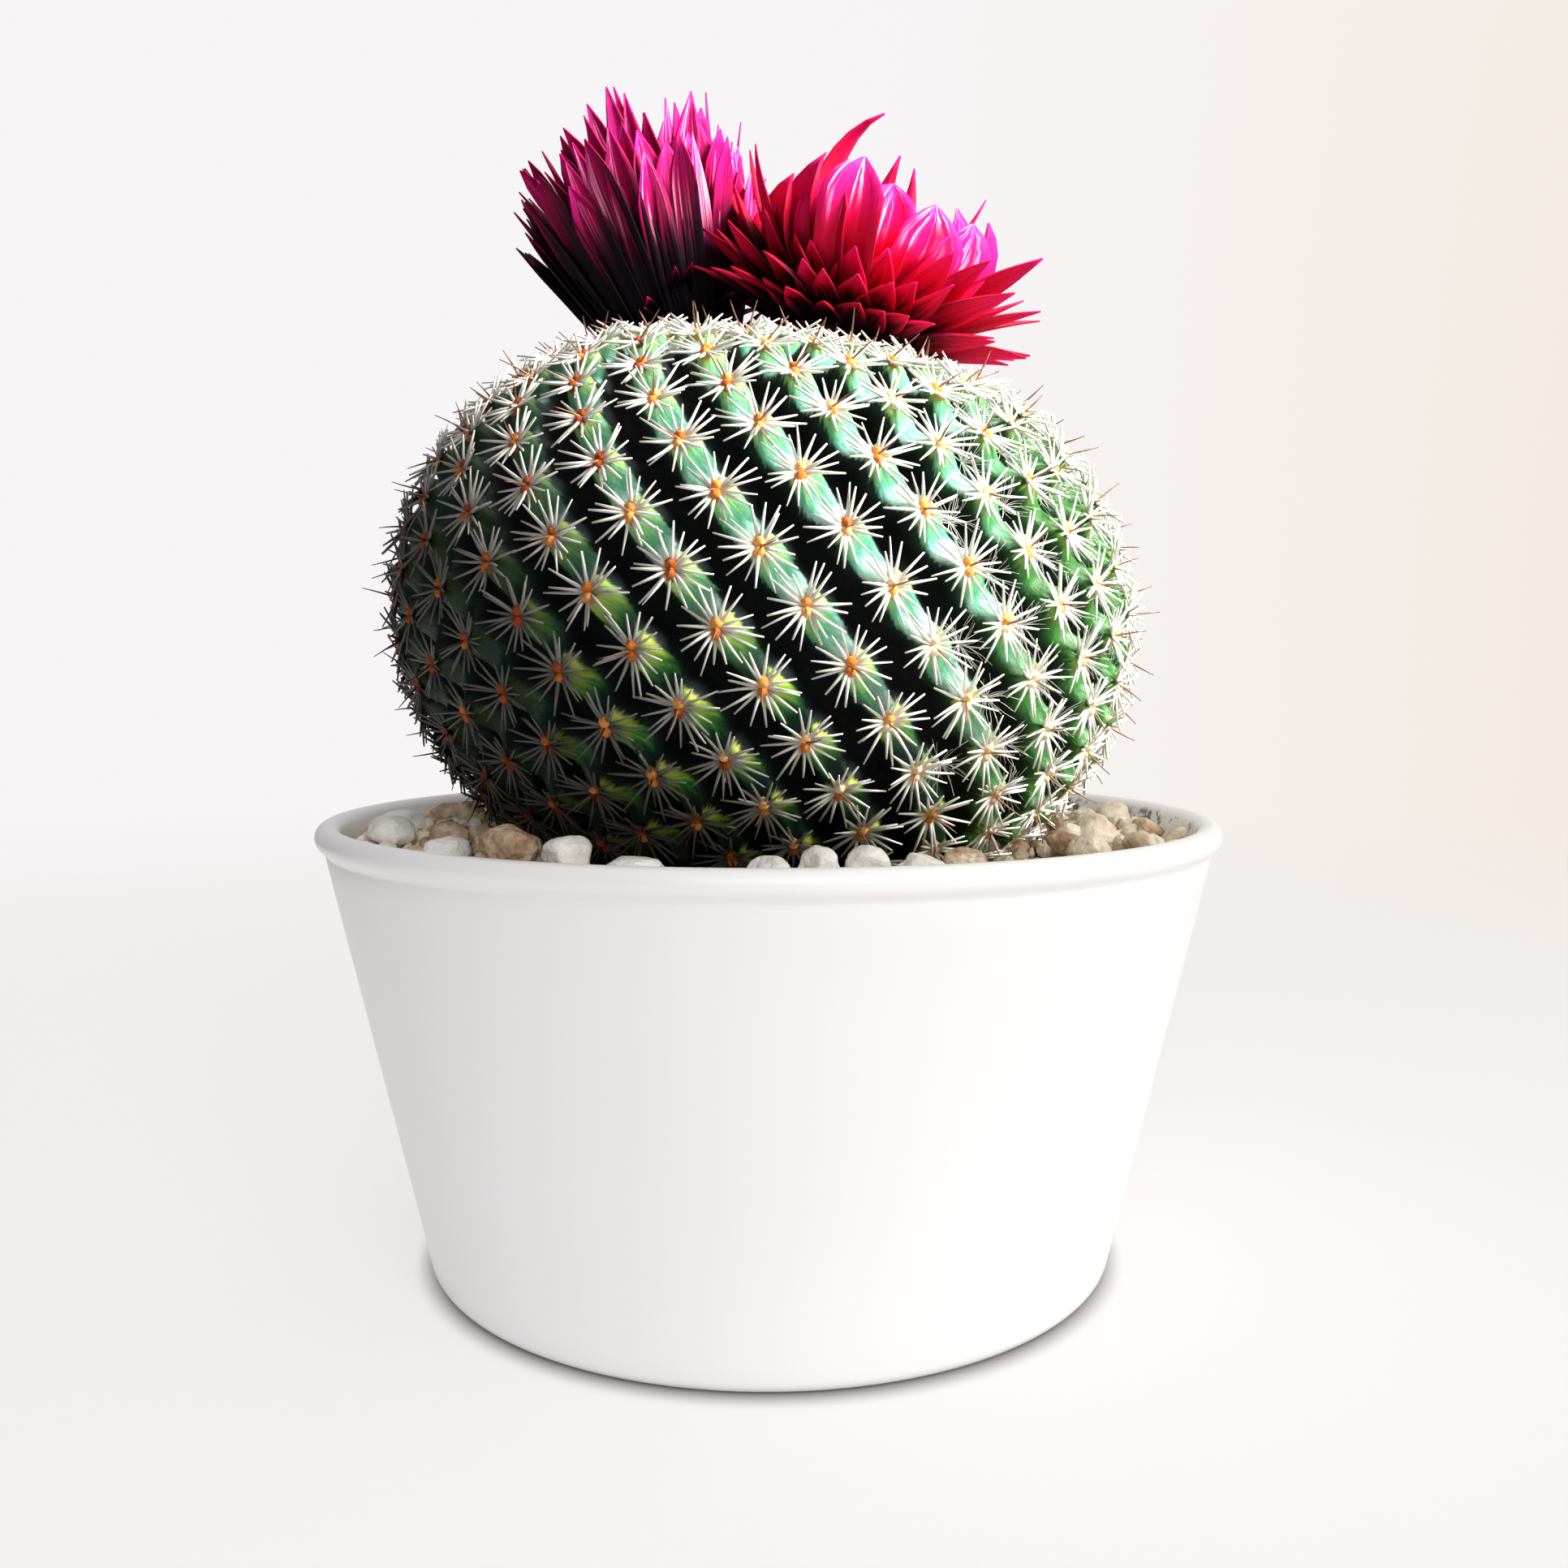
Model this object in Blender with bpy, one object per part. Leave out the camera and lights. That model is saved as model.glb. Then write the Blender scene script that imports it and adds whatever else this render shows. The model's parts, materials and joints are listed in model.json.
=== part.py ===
"""A round cactus in a white glazed pot, topped with two dried strawflower heads.

The pot stands on the XY plane with its axis on +Z, and -Y is the front. Driving sizes are in
millimetres and are turned to Blender's metres by MM. Every object in the scene is one real piece,
except that the bracts of one whorl of a flower share the ring that they grow from.
"""

import math
import random

import bmesh
import bpy
from mathutils import Matrix, Vector, noise

MM = 0.001

# Pot: a tapered bowl with a rolled lip, a rounded heel and a shallow recess under it.
RIM_RADIUS = 50.0
RIM_HEIGHT = 50.0
LIP_BEAD = 1.35
WALL = 2.4
HEEL_RADIUS = 38.5
WALL_FLARE = 0.224
HEEL_ROUND = 1.9
FOOT_INNER = 32.5
FOOT_RECESS = 0.8
FLOOR = 3.6
POT_STEPS = 64

# Fill: potting soil, then a thin bed of gravel with loose stones on it.
SOIL_TOP = 43.6
BED_THICKNESS = 2.2
BED_INNER = 21.5
GAP = 0.35
ROOT_TIP = 16.0
ROOT_RADIUS = 4.5

# Cactus: a flattened globe, leaning to the right, with areoles in whorls of five. Each whorl
# turns by a fifth of the golden angle, which gives 15, 25 and 40 spiral rows. The crown is flatter
# than the globe: it sinks more and more above the height CROWN_START, a share of the half height.
CACTUS_CENTRE = Vector((-0.6, -3.0, 71.6))
CACTUS_RADIUS = 39.8
CACTUS_HALF_HEIGHT = 32.5
CACTUS_LEAN = math.radians(6.9)
CROWN_SINK = 4.5
CROWN_START = 0.7
WHORL = 5
WHORL_TURN = math.radians(222.492) / WHORL
LATITUDE_STEP = math.radians(1.587)
FIRST_LATITUDE = math.radians(8.5)
FIRST_AZIMUTH = math.radians(-0.6)
TUBERCLE_HEIGHT = 2.6
LOWEST_AREOLE = math.radians(-46.0)
HIGHEST_AREOLE = math.radians(72.0)

# Flowers: one bract is a thin papery blade.
BRACT_THICKNESS = 0.35


def material(name, colour, roughness, metallic=0.0):
    """A plain Principled material."""
    made = bpy.data.materials.new(name)
    made.use_nodes = True
    shader = made.node_tree.nodes["Principled BSDF"]
    shader.inputs["Base Color"].default_value = (*colour, 1.0)
    shader.inputs["Roughness"].default_value = roughness
    shader.inputs["Metallic"].default_value = metallic
    made.diffuse_color = (*colour, 1.0)
    return made


def add_object(name, bm, finish, smooth_angle=None):
    """Turns a bmesh in millimetres into a named object in metres."""
    bm.normal_update()
    mesh = bpy.data.meshes.new(name)
    bmesh.ops.scale(bm, vec=(MM, MM, MM), verts=bm.verts)
    bm.to_mesh(mesh)
    bm.free()
    mesh.materials.append(finish)
    if smooth_angle is not None:
        mesh.shade_smooth()
        mesh.set_sharp_from_angle(angle=smooth_angle)
    made = bpy.data.objects.new(name, mesh)
    bpy.context.collection.objects.link(made)
    return made


def lathe(profile, steps):
    """A closed solid turned about Z from (radius, height) points that start and end on the axis."""
    bm = bmesh.new()
    verts = [bm.verts.new((radius, 0.0, height)) for radius, height in profile]
    edges = [bm.edges.new(pair) for pair in zip(verts, verts[1:])]
    bmesh.ops.spin(
        bm, geom=verts + edges, cent=(0, 0, 0), axis=(0, 0, 1), angle=2 * math.pi,
        steps=steps, use_merge=True,
    )
    bmesh.ops.remove_doubles(bm, verts=bm.verts, dist=1e-4)
    bmesh.ops.dissolve_degenerate(bm, dist=1e-4, edges=bm.edges)
    bmesh.ops.recalc_face_normals(bm, faces=bm.faces)
    return bm


def arc(centre, radius, start, end, count):
    """Points (radius, height) on a circle between two angles in degrees, ends included."""
    angles = [math.radians(start + (end - start) * i / count) for i in range(count + 1)]
    return [(centre[0] + radius * math.cos(a), centre[1] + radius * math.sin(a)) for a in angles]


def wall_radius(height):
    """Outer radius of the pot's wall."""
    return HEEL_RADIUS + WALL_FLARE * height


def inner_radius(height):
    """Inner radius of the pot's wall."""
    return wall_radius(height) - WALL


def make_pot(finish):
    bead_centre = (RIM_RADIUS - LIP_BEAD, RIM_HEIGHT - LIP_BEAD)
    lip_inner = inner_radius(RIM_HEIGHT) + LIP_BEAD
    heel_centre = (wall_radius(HEEL_ROUND) - HEEL_ROUND, HEEL_ROUND)
    profile = [(0.0, FOOT_RECESS), (FOOT_INNER - 1.0, FOOT_RECESS), (FOOT_INNER, 0.0)]
    profile += arc(heel_centre, HEEL_ROUND, -90, -12, 5)
    profile += [(wall_radius(RIM_HEIGHT - 4 * LIP_BEAD), RIM_HEIGHT - 4 * LIP_BEAD)]
    profile += [(wall_radius(RIM_HEIGHT - 2.3 * LIP_BEAD), RIM_HEIGHT - 2.3 * LIP_BEAD)]
    profile += arc(bead_centre, LIP_BEAD, -55, 90, 6)
    profile += arc((lip_inner, bead_centre[1]), LIP_BEAD, 90, 165, 3)
    profile += [(inner_radius(FLOOR + 3.0), FLOOR + 3.0), (inner_radius(FLOOR) - 2.6, FLOOR)]
    profile += [(0.0, FLOOR)]
    return add_object("pot", lathe(profile, POT_STEPS), finish, math.radians(35))


def cactus_matrix():
    """Places the cactus, whose own axis is Z, and leans it to the right."""
    return Matrix.Translation(CACTUS_CENTRE) @ Matrix.Rotation(CACTUS_LEAN, 4, "Y")


def globe_point(latitude, azimuth, inset=0.0):
    """A point on the globe in its own frame; azimuth 0 faces the front and runs to the right."""
    radius = (CACTUS_RADIUS - inset) * math.cos(latitude)
    high = max(0.0, math.sin(latitude) - CROWN_START) / (1.0 - CROWN_START)
    height = (CACTUS_HALF_HEIGHT - inset) * math.sin(latitude) - CROWN_SINK * high * high
    return Vector((radius * math.sin(azimuth), -radius * math.cos(azimuth), height))


def areoles():
    """(latitude, azimuth) of each areole, whorl by whorl."""
    first = math.ceil((FIRST_LATITUDE - HIGHEST_AREOLE) / LATITUDE_STEP)
    last = math.floor((FIRST_LATITUDE - LOWEST_AREOLE) / LATITUDE_STEP)
    return [
        (
            FIRST_LATITUDE - level * LATITUDE_STEP,
            FIRST_AZIMUTH + level * WHORL_TURN + 2 * math.pi * k / WHORL,
        )
        for level in range(first, last + 1)
        for k in range(WHORL)
    ]


def plain_rings():
    """(latitude, azimuth, point) of the buried base, its root and the sunken crown."""
    found = []
    crown = [(78, 9, 1.2), (84, 6, 1.6)]
    base = [(-52, 24, 2.0), (-60, 20, 2.2), (-68, 14, 2.4)]
    for degrees, count, inset in crown + base:
        for k in range(count):
            place = (math.radians(degrees), 2 * math.pi * (k + 0.5) / count)
            found.append((*place, globe_point(*place, inset)))
    root = [(-76, 8, ROOT_RADIUS, 34.6), (-82, 7, 0.6 * ROOT_RADIUS, 28.0), (-86, 6, 1.2, 20.0)]
    for degrees, count, radius, height in root:
        for k in range(count):
            azimuth = 2 * math.pi * k / count
            centre = cactus_matrix().inverted() @ Vector((CACTUS_CENTRE.x, CACTUS_CENTRE.y, height))
            point = centre + Vector((radius * math.sin(azimuth), -radius * math.cos(azimuth), 0.0))
            found.append((math.radians(degrees), azimuth, point))
    tip = cactus_matrix().inverted() @ Vector((CACTUS_CENTRE.x, CACTUS_CENTRE.y, ROOT_TIP))
    found.append((math.radians(90), 0.0, globe_point(math.radians(90), 0.0, 2.0)))
    found.append((math.radians(-90), 0.0, tip))
    return found


def make_cactus(finish):
    """A peak at each areole, and a valley at the middle of each three neighbours."""
    ball = bmesh.new()
    place = {}
    for latitude, azimuth in areoles():
        vert = ball.verts.new(
            (math.cos(latitude) * math.sin(azimuth), -math.cos(latitude) * math.cos(azimuth),
             math.sin(latitude))
        )
        place[vert] = (globe_point(latitude, azimuth), TUBERCLE_HEIGHT)
    for latitude, azimuth, point in plain_rings():
        vert = ball.verts.new(
            (math.cos(latitude) * math.sin(azimuth), -math.cos(latitude) * math.cos(azimuth),
             math.sin(latitude))
        )
        place[vert] = (point, 0.0)
    bmesh.ops.convex_hull(ball, input=ball.verts)
    bmesh.ops.triangulate(ball, faces=ball.faces)
    body = bmesh.new()
    peak = {vert: body.verts.new(place[vert][0]) for vert in ball.verts}
    valley = {}
    for face in ball.faces:
        middle = sum((place[v][0] for v in face.verts), Vector()) / 3
        depth = min(place[v][1] for v in face.verts)
        outward = Vector((middle.x, middle.y, middle.z * 1.35)).normalized()
        valley[face] = body.verts.new(middle - outward * depth)
    for edge in ball.edges:
        one, other = edge.link_faces
        for vert in edge.verts:
            body.faces.new((peak[vert], valley[one], valley[other]))
    bmesh.ops.recalc_face_normals(body, faces=body.faces)
    ball.free()
    body.transform(cactus_matrix())
    return add_object("cactus_body", body, finish)


def cutter(name, bm):
    """A helper solid that a Boolean takes away."""
    made = add_object(name, bm, bpy.data.materials.get("cutter") or material("cutter", (1, 0, 0), 1))
    made.hide_render = True
    made.display_type = "WIRE"
    return made


def cut(target, tool):
    modifier = target.modifiers.new("cut_" + tool.name, "BOOLEAN")
    modifier.operation = "DIFFERENCE"
    modifier.solver = "EXACT"
    modifier.object = tool


def plant_pit():
    """The room that the cactus's base and root take in the fill, a little larger than they are."""
    pit = bmesh.new()
    bmesh.ops.create_uvsphere(pit, u_segments=40, v_segments=24, radius=1.0)
    grown = (CACTUS_RADIUS + 0.9, CACTUS_RADIUS + 0.9, CACTUS_HALF_HEIGHT + 0.9)
    bmesh.ops.scale(pit, vec=grown, verts=pit.verts)
    pit.transform(cactus_matrix())
    return pit


def root_pit():
    profile = [(0.0, ROOT_TIP - 1.0), (2.2, ROOT_TIP), (0.6 * ROOT_RADIUS + 1.2, 27.6)]
    profile += [(ROOT_RADIUS + 1.4, 33.0), (ROOT_RADIUS + 6.4, 36.6)]
    profile += [(ROOT_RADIUS + 6.4, 60.0), (0.0, 60.0)]
    pit = lathe(profile, 20)
    bmesh.ops.translate(pit, vec=(CACTUS_CENTRE.x, CACTUS_CENTRE.y, 0.0), verts=pit.verts)
    return pit


def make_soil(finish, pit_tools):
    low = FLOOR + GAP
    profile = [(0.0, low), (inner_radius(low) - 3.2, low)]
    profile += [(inner_radius(low + 3.2) - GAP, low + 3.2), (inner_radius(SOIL_TOP) - GAP, SOIL_TOP)]
    profile += [(BED_INNER - 1.0, SOIL_TOP + 0.3), (BED_INNER - 3.0, SOIL_TOP + 0.8), (0.0, SOIL_TOP + 0.8)]
    soil = add_object("soil", lathe(profile, 48), finish, math.radians(30))
    for tool in pit_tools:
        cut(soil, tool)
    return soil


def make_gravel_bed(finish, plant_tool):
    """Fine gravel as one ring with an uneven top."""
    rings, steps = 5, 72
    bottom = SOIL_TOP + GAP
    bm = bmesh.new()
    columns = []
    for i in range(steps):
        angle = 2 * math.pi * i / steps
        way = Vector((math.cos(angle), math.sin(angle), 0.0))
        column = [bm.verts.new(way * BED_INNER + Vector((0, 0, bottom + 0.35)))]
        for ring in range(rings):
            outer = inner_radius(bottom + BED_THICKNESS) - GAP
            radius = BED_INNER + 1.0 + (outer - BED_INNER - 1.0) * ring / (rings - 1)
            bump = 0.55 * noise.noise(way * radius * 0.35)
            column.append(bm.verts.new(way * radius + Vector((0, 0, bottom + BED_THICKNESS + bump))))
        column.append(bm.verts.new(way * (inner_radius(bottom) - GAP) + Vector((0, 0, bottom))))
        column.append(bm.verts.new(way * (BED_INNER + 0.6) + Vector((0, 0, bottom))))
        columns.append(column)
    count = len(columns[0])
    for i in range(steps):
        here, there = columns[i], columns[(i + 1) % steps]
        for j in range(count):
            k = (j + 1) % count
            bm.faces.new((here[j], there[j], there[k], here[k]))
    bmesh.ops.recalc_face_normals(bm, faces=bm.faces)
    bed = add_object("gravel_bed", bm, finish)
    cut(bed, plant_tool)
    return bed


def make_stone(name, finish, azimuth, radius, size, seed):
    """One loose stone: a rounded block, a little uneven, resting just clear of the bed."""
    bm = bmesh.new()
    bmesh.ops.create_icosphere(bm, subdivisions=2, radius=0.5)
    offset = Vector((seed * 7.3, seed * 1.9, seed * 4.1))
    for vert in bm.verts:
        vert.co *= 1.0 + 0.22 * noise.noise(vert.co * 2.2 + offset)
    bmesh.ops.scale(bm, vec=size, verts=bm.verts)
    turn = Matrix.Rotation(seed * 2.4, 4, "Z") @ Matrix.Rotation(0.25 * math.sin(seed), 4, "X")
    bm.transform(turn)
    lowest = min(v.co.z for v in bm.verts)
    angle = math.radians(azimuth)
    rest = SOIL_TOP + GAP + BED_THICKNESS + 0.55 + GAP
    spot = Vector((radius * math.sin(angle), -radius * math.cos(angle), rest - lowest))
    bmesh.ops.translate(bm, vec=spot, verts=bm.verts)
    return add_object(name, bm, finish, math.radians(40))


# The large stones: azimuth from the front, positive to the right, radius from the pot's axis, size.
LARGE_STONES = [
    ("stone_large_1", -38.5, 39.0, (5.8, 5.4, 4.6), "stone_tan"),
    ("stone_large_2", -49.5, 41.0, (6.0, 4.8, 2.9), "stone_white"),
    ("stone_large_3", -27.6, 39.2, (4.7, 4.5, 4.0), "stone_white"),
    ("stone_large_4", -16.9, 39.8, (5.4, 4.6, 2.6), "stone_white"),
    ("stone_large_5", 0.4, 40.4, (4.0, 3.8, 3.0), "stone_white"),
    ("stone_large_6", 6.7, 40.0, (3.7, 3.6, 3.5), "stone_white"),
    ("stone_large_7", 13.1, 39.8, (4.3, 4.1, 3.6), "stone_white"),
    ("stone_large_8", 19.9, 40.2, (4.1, 3.8, 2.7), "stone_white"),
    ("stone_large_9", 26.8, 40.0, (4.2, 3.8, 2.9), "stone_tan"),
]
SMALL_STONES = 28


def make_stones(finishes):
    for seed, (name, azimuth, radius, size, slot) in enumerate(LARGE_STONES):
        make_stone(name, finishes[slot], azimuth, radius, size, seed + 1)
    first, last = 46.0, 296.0
    for k in range(SMALL_STONES):
        azimuth = first + (last - first) * k / (SMALL_STONES - 1)
        radius = (42.6, 36.9)[k % 2]
        wide = 4.8 + 0.9 * math.sin(2.7 * k)
        size = (wide, wide - 0.9, 2.9 + 0.5 * math.cos(1.9 * k))
        slot = ("stone_white", "stone_tan", "stone_white")[k % 3]
        make_stone(f"stone_small_{k + 1:02d}", finishes[slot], azimuth, radius, size, 20 + k)


class Flower:
    """A dried flower head: a woody base, a disc of florets and nested whorls of bracts."""

    def __init__(self, name, base, lean_side, lean_front, press_side, press):
        self.name = name
        tilt = Matrix.Rotation(lean_side, 4, "Y") @ Matrix.Rotation(lean_front, 4, "X")
        self.matrix = Matrix.Translation(base) @ tilt
        self.press_side = press_side
        self.press = press

    def press_in(self, bm):
        """Draws a turned solid in like the bracts round it, then moves it to the head's place."""
        for vert in bm.verts:
            radius = math.hypot(vert.co.x, vert.co.y)
            vert.co = self.point(math.atan2(vert.co.y, vert.co.x), radius, vert.co.z)
        bm.transform(self.matrix)

    def point(self, angle, radius, height):
        """A point of the head, drawn in on the side where the other head leans against it."""
        facing = max(0.0, math.cos(angle - self.press_side))
        radius *= 1.0 - self.press * facing * facing
        return Vector((radius * math.cos(angle), radius * math.sin(angle), height))


def bowl(low, high, share):
    """(radius, height) along a blade that leaves the base steeply and flares, share from 0 to 1."""
    radius = low[0] + (high[0] - low[0]) * share ** 1.25
    height = low[1] + (high[1] - low[1]) * share
    return radius, height


def make_whorl(flower, number, count, low, high, turn, finish):
    """One whorl as a single crown: a short ring, then a pointed blade for each bract."""
    rng = random.Random(flower.name + str(number))
    bm = bmesh.new()
    step = 2 * math.pi / count
    shares = (0.0, 0.16, 0.45, 0.75, 1.0)
    half_widths = (0.5, 0.5, 0.46, 0.34)

    def pair(angle, share, stretch=1.0):
        radius, height = bowl(low, high, share * stretch)
        outer = bm.verts.new(flower.point(angle, radius, height))
        inner = bm.verts.new(flower.point(angle, radius - BRACT_THICKNESS, height + 0.05))
        return outer, inner

    ring = [pair(turn + i * step, shares[0]) for i in range(count)]
    notch = [pair(turn + i * step, shares[1]) for i in range(count)]

    def skin(a, b, c, d=None):
        """The outer face, and the inner face turned round."""
        corners = [v for v in (a, b, c, d) if v]
        bm.faces.new([v[0] for v in corners])
        bm.faces.new([v[1] for v in reversed(corners)])

    for i in range(count):
        j = (i + 1) % count
        skin(ring[i], ring[j], notch[j], notch[i])
        bm.faces.new((ring[i][0], ring[i][1], ring[j][1], ring[j][0]))
        middle = turn + (i + 0.5) * step
        stretch = rng.uniform(0.9, 1.0)
        left, right = [notch[i]], [notch[j]]
        for share, half in zip(shares[2:4], half_widths[2:4]):
            left.append(pair(middle - half * step, share, stretch))
            right.append(pair(middle + half * step, share, stretch))
        tip = pair(middle, shares[4], stretch)
        for k in range(len(left) - 1):
            skin(left[k], right[k], right[k + 1], left[k + 1])
        skin(left[-1], right[-1], tip)
        for side in (left + [tip], list(reversed(right + [tip]))):
            for a, b in zip(side, side[1:]):
                bm.faces.new((a[0], b[0], b[1], a[1]))
    bmesh.ops.recalc_face_normals(bm, faces=bm.faces)
    bm.transform(flower.matrix)
    add_object(f"{flower.name}_whorl_{number}", bm, finish)


def make_flower_core(flower, radius, disc_radius, disc_height, base_finish, disc_finish):
    """The woody base under the bracts, and the dome of florets on top of it."""
    top = 2.6
    profile = [(0.0, -1.2), (radius * 0.5, -1.2), (radius * 0.9, 0.4), (radius, top - 0.4)]
    profile += [(radius - 0.4, top), (0.0, top)]
    base = lathe(profile, 24)
    flower.press_in(base)
    add_object(f"{flower.name}_base", base, base_finish, math.radians(40))
    dome = [(0.0, top + 0.35), (disc_radius, top + 0.35)]
    dome += [(disc_radius * math.cos(a), top + 0.35 + disc_height * math.sin(a))
             for a in (0.35, 0.75, 1.15)]
    dome += [(0.0, top + 0.35 + disc_height)]
    disc = lathe(dome, 20)
    flower.press_in(disc)
    add_object(f"{flower.name}_disc", disc, disc_finish, math.radians(60))


def make_flowers(finishes):
    left = Flower("flower_left", Vector((-12.8, 2.0, 102.8)), math.radians(-9), math.radians(-4),
                  math.radians(-24), 0.22)
    right = Flower("flower_right", Vector((8.8, -7.0, 103.6)), math.radians(17), math.radians(6),
                   math.radians(156), 0.30)
    finish = finishes["bract_magenta"]
    make_flower_core(left, 4.0, 2.6, 5.0, finishes["flower_base"], finishes["flower_disc"])
    make_flower_core(right, 4.6, 3.8, 3.6, finishes["flower_base"], finishes["flower_disc"])
    # Whorls from the outside in: number of bracts, (radius, height) at the base and at the tips.
    left_whorls = [
        (18, (7.6, 0.6), (14.6, 18.6)), (17, (6.7, 1.2), (13.0, 23.4)),
        (15, (5.8, 1.8), (11.2, 27.0)), (13, (4.9, 2.4), (9.2, 28.8)),
        (10, (4.0, 3.2), (7.0, 28.8)),
    ]
    right_whorls = [
        (20, (8.6, 0.4), (20.5, 3.6)), (19, (7.8, 1.0), (20.2, 9.8)),
        (17, (7.1, 1.7), (18.6, 15.6)), (15, (6.4, 2.4), (16.0, 19.8)),
        (13, (5.7, 3.0), (13.2, 22.0)), (10, (5.0, 3.6), (10.0, 21.0)),
    ]
    for flower, whorls in ((left, left_whorls), (right, right_whorls)):
        for number, (count, low, high) in enumerate(whorls, start=1):
            make_whorl(flower, number, count, low, high, 0.37 * number, finish)


def main():
    for old in list(bpy.data.objects):
        bpy.data.objects.remove(old)
    finishes = {
        "stone_white": material("stone_white", (0.80, 0.78, 0.74), 0.75),
        "stone_tan": material("stone_tan", (0.48, 0.38, 0.29), 0.9),
        "flower_base": material("flower_base", (0.10, 0.03, 0.05), 0.8),
        "flower_disc": material("flower_disc", (0.55, 0.28, 0.05), 0.8),
        "bract_magenta": material("bract_magenta", (0.60, 0.01, 0.16), 0.45),
    }
    make_pot(material("pot_glaze", (0.88, 0.88, 0.87), 0.22))
    make_cactus(material("cactus_skin", (0.05, 0.16, 0.07), 0.5))
    plant_tool, root_tool = cutter("plant_pit", plant_pit()), cutter("root_pit", root_pit())
    make_soil(material("soil", (0.045, 0.03, 0.02), 1.0), (plant_tool, root_tool))
    make_gravel_bed(material("gravel", (0.52, 0.44, 0.36), 0.95), plant_tool)
    make_stones(finishes)
    make_flowers(finishes)


main()
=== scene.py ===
"""A round spiny cactus in a white glazed pot, with two dried strawflower heads on its crown."""

import json
import math

import bmesh
import bpy
import numpy as np
from mathutils import Matrix, Vector, noise

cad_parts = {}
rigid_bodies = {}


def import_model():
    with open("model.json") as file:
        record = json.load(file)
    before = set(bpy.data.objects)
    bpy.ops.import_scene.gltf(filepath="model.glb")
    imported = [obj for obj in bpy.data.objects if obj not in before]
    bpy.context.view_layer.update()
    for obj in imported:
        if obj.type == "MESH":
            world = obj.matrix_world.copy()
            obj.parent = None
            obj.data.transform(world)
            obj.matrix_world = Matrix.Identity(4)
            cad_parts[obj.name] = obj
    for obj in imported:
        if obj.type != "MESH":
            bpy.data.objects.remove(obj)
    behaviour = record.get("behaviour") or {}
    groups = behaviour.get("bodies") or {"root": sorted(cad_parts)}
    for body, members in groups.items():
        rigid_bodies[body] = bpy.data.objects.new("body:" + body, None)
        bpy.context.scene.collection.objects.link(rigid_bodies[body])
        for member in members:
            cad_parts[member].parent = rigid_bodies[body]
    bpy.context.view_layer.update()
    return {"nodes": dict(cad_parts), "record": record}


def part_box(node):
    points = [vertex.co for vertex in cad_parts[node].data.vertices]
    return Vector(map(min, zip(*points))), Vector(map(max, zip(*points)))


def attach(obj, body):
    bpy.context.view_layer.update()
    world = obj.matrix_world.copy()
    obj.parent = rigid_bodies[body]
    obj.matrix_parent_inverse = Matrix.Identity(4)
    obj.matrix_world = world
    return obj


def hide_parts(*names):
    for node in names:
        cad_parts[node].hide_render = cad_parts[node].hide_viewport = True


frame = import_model()

MM = 0.001

# Pot, in millimetres.
RIM_RADIUS = 50.0
RIM_HEIGHT = 50.0
LIP_BEAD = 1.35
WALL = 2.4
HEEL_RADIUS = 38.5
WALL_FLARE = 0.224
HEEL_ROUND = 1.9
FOOT_INNER = 32.5
FOOT_RECESS = 0.8
POT_FLOOR = 3.6
POT_STEPS = 192

# Cactus, in millimetres: a flattened globe that leans to the right.
GLOBE_CENTRE = Vector((-0.6, -3.0, 71.6))
GLOBE_RADIUS = 39.8
GLOBE_HALF_HEIGHT = 32.5
GLOBE_LEAN = math.radians(6.94)
CROWN_SINK = 4.5
CROWN_START = 0.7
GLOBE_MATRIX = Matrix.Translation(GLOBE_CENTRE) @ Matrix.Rotation(GLOBE_LEAN, 4, "Y")

# Areoles: whorls of five, each turned by a fifth of the golden angle from the one above.
WHORL = 5
WHORL_TURN = math.radians(222.492) / WHORL
WHORL_STEP = math.radians(1.587)
FIRST_LATITUDE = math.radians(8.47)
FIRST_AZIMUTH = math.radians(-0.6)
TOP_LATITUDE = math.radians(77.0)
LOW_LATITUDE = math.radians(-50.0)
RIB_LEVELS = 5
RIB_TURN = RIB_LEVELS * WHORL_TURN - 3 * 2 * math.pi / WHORL
RIB_SPACING = 7.1
RIB_DEPTH = 3.3
RIB_SAG = 1.5
GLOBE_COLUMNS = 440

# Fill, in millimetres: potting soil, then a bed of gravel.
SOIL_TOP = 43.9
BED_TOP = 46.9
CRUMB_RING = (24.0, 45.4)
CRUMBS_CLEAR = 26.5

# Flowers: the bracts' thickness in millimetres and the pinkish white of their painted highlight
# streaks.
BRACT_THICKNESS = 0.16
HIGHLIGHT_PINK = "#FFC2E2"

# The way the key light comes from: bracts facing it get painted light and painted highlight streaks,
# bracts facing away get painted shade.
KEY_LIGHT_WAY = np.array([0.61, -0.61, 0.51])

# Beginnings of the names of the pieces that each set of lamps is for.
# Painted light: the table glows a little, as an overexposed one does, but not under the pot, which
# paints a contact shadow there.
PLANT_PIECES = ("cactus", "areole", "radial", "central", "axil", "left", "right")
POT_PIECES = ("white_pot", "pebble", "pale_crumbs", "tan_crumbs", "potting")

# Stage, in metres: the table's painted glow, where that glow starts and is full (inside it, a
# painted contact shadow under the pot), where the table fades out.
TABLE_GLOW = 0.54
GLOW_FROM_TO = (0.0375, 0.041)
TABLE_FADE = (0.10, 0.60)
LAMP_TARGET = Vector((0, 0, 0.07))
CAMERA_AT = (0.00163, -0.1633, 0.0656)
CAMERA_TILT = 4.36
CAMERA_LENS = 32.61


def linear(hex_colour):
    """An sRGB hex colour as linear red, green, blue and alpha."""
    parts = [int(hex_colour[i:i + 2], 16) / 255 for i in (1, 3, 5)]
    return (*[c / 12.92 if c <= 0.04045 else ((c + 0.055) / 1.055) ** 2.4 for c in parts], 1.0)


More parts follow.
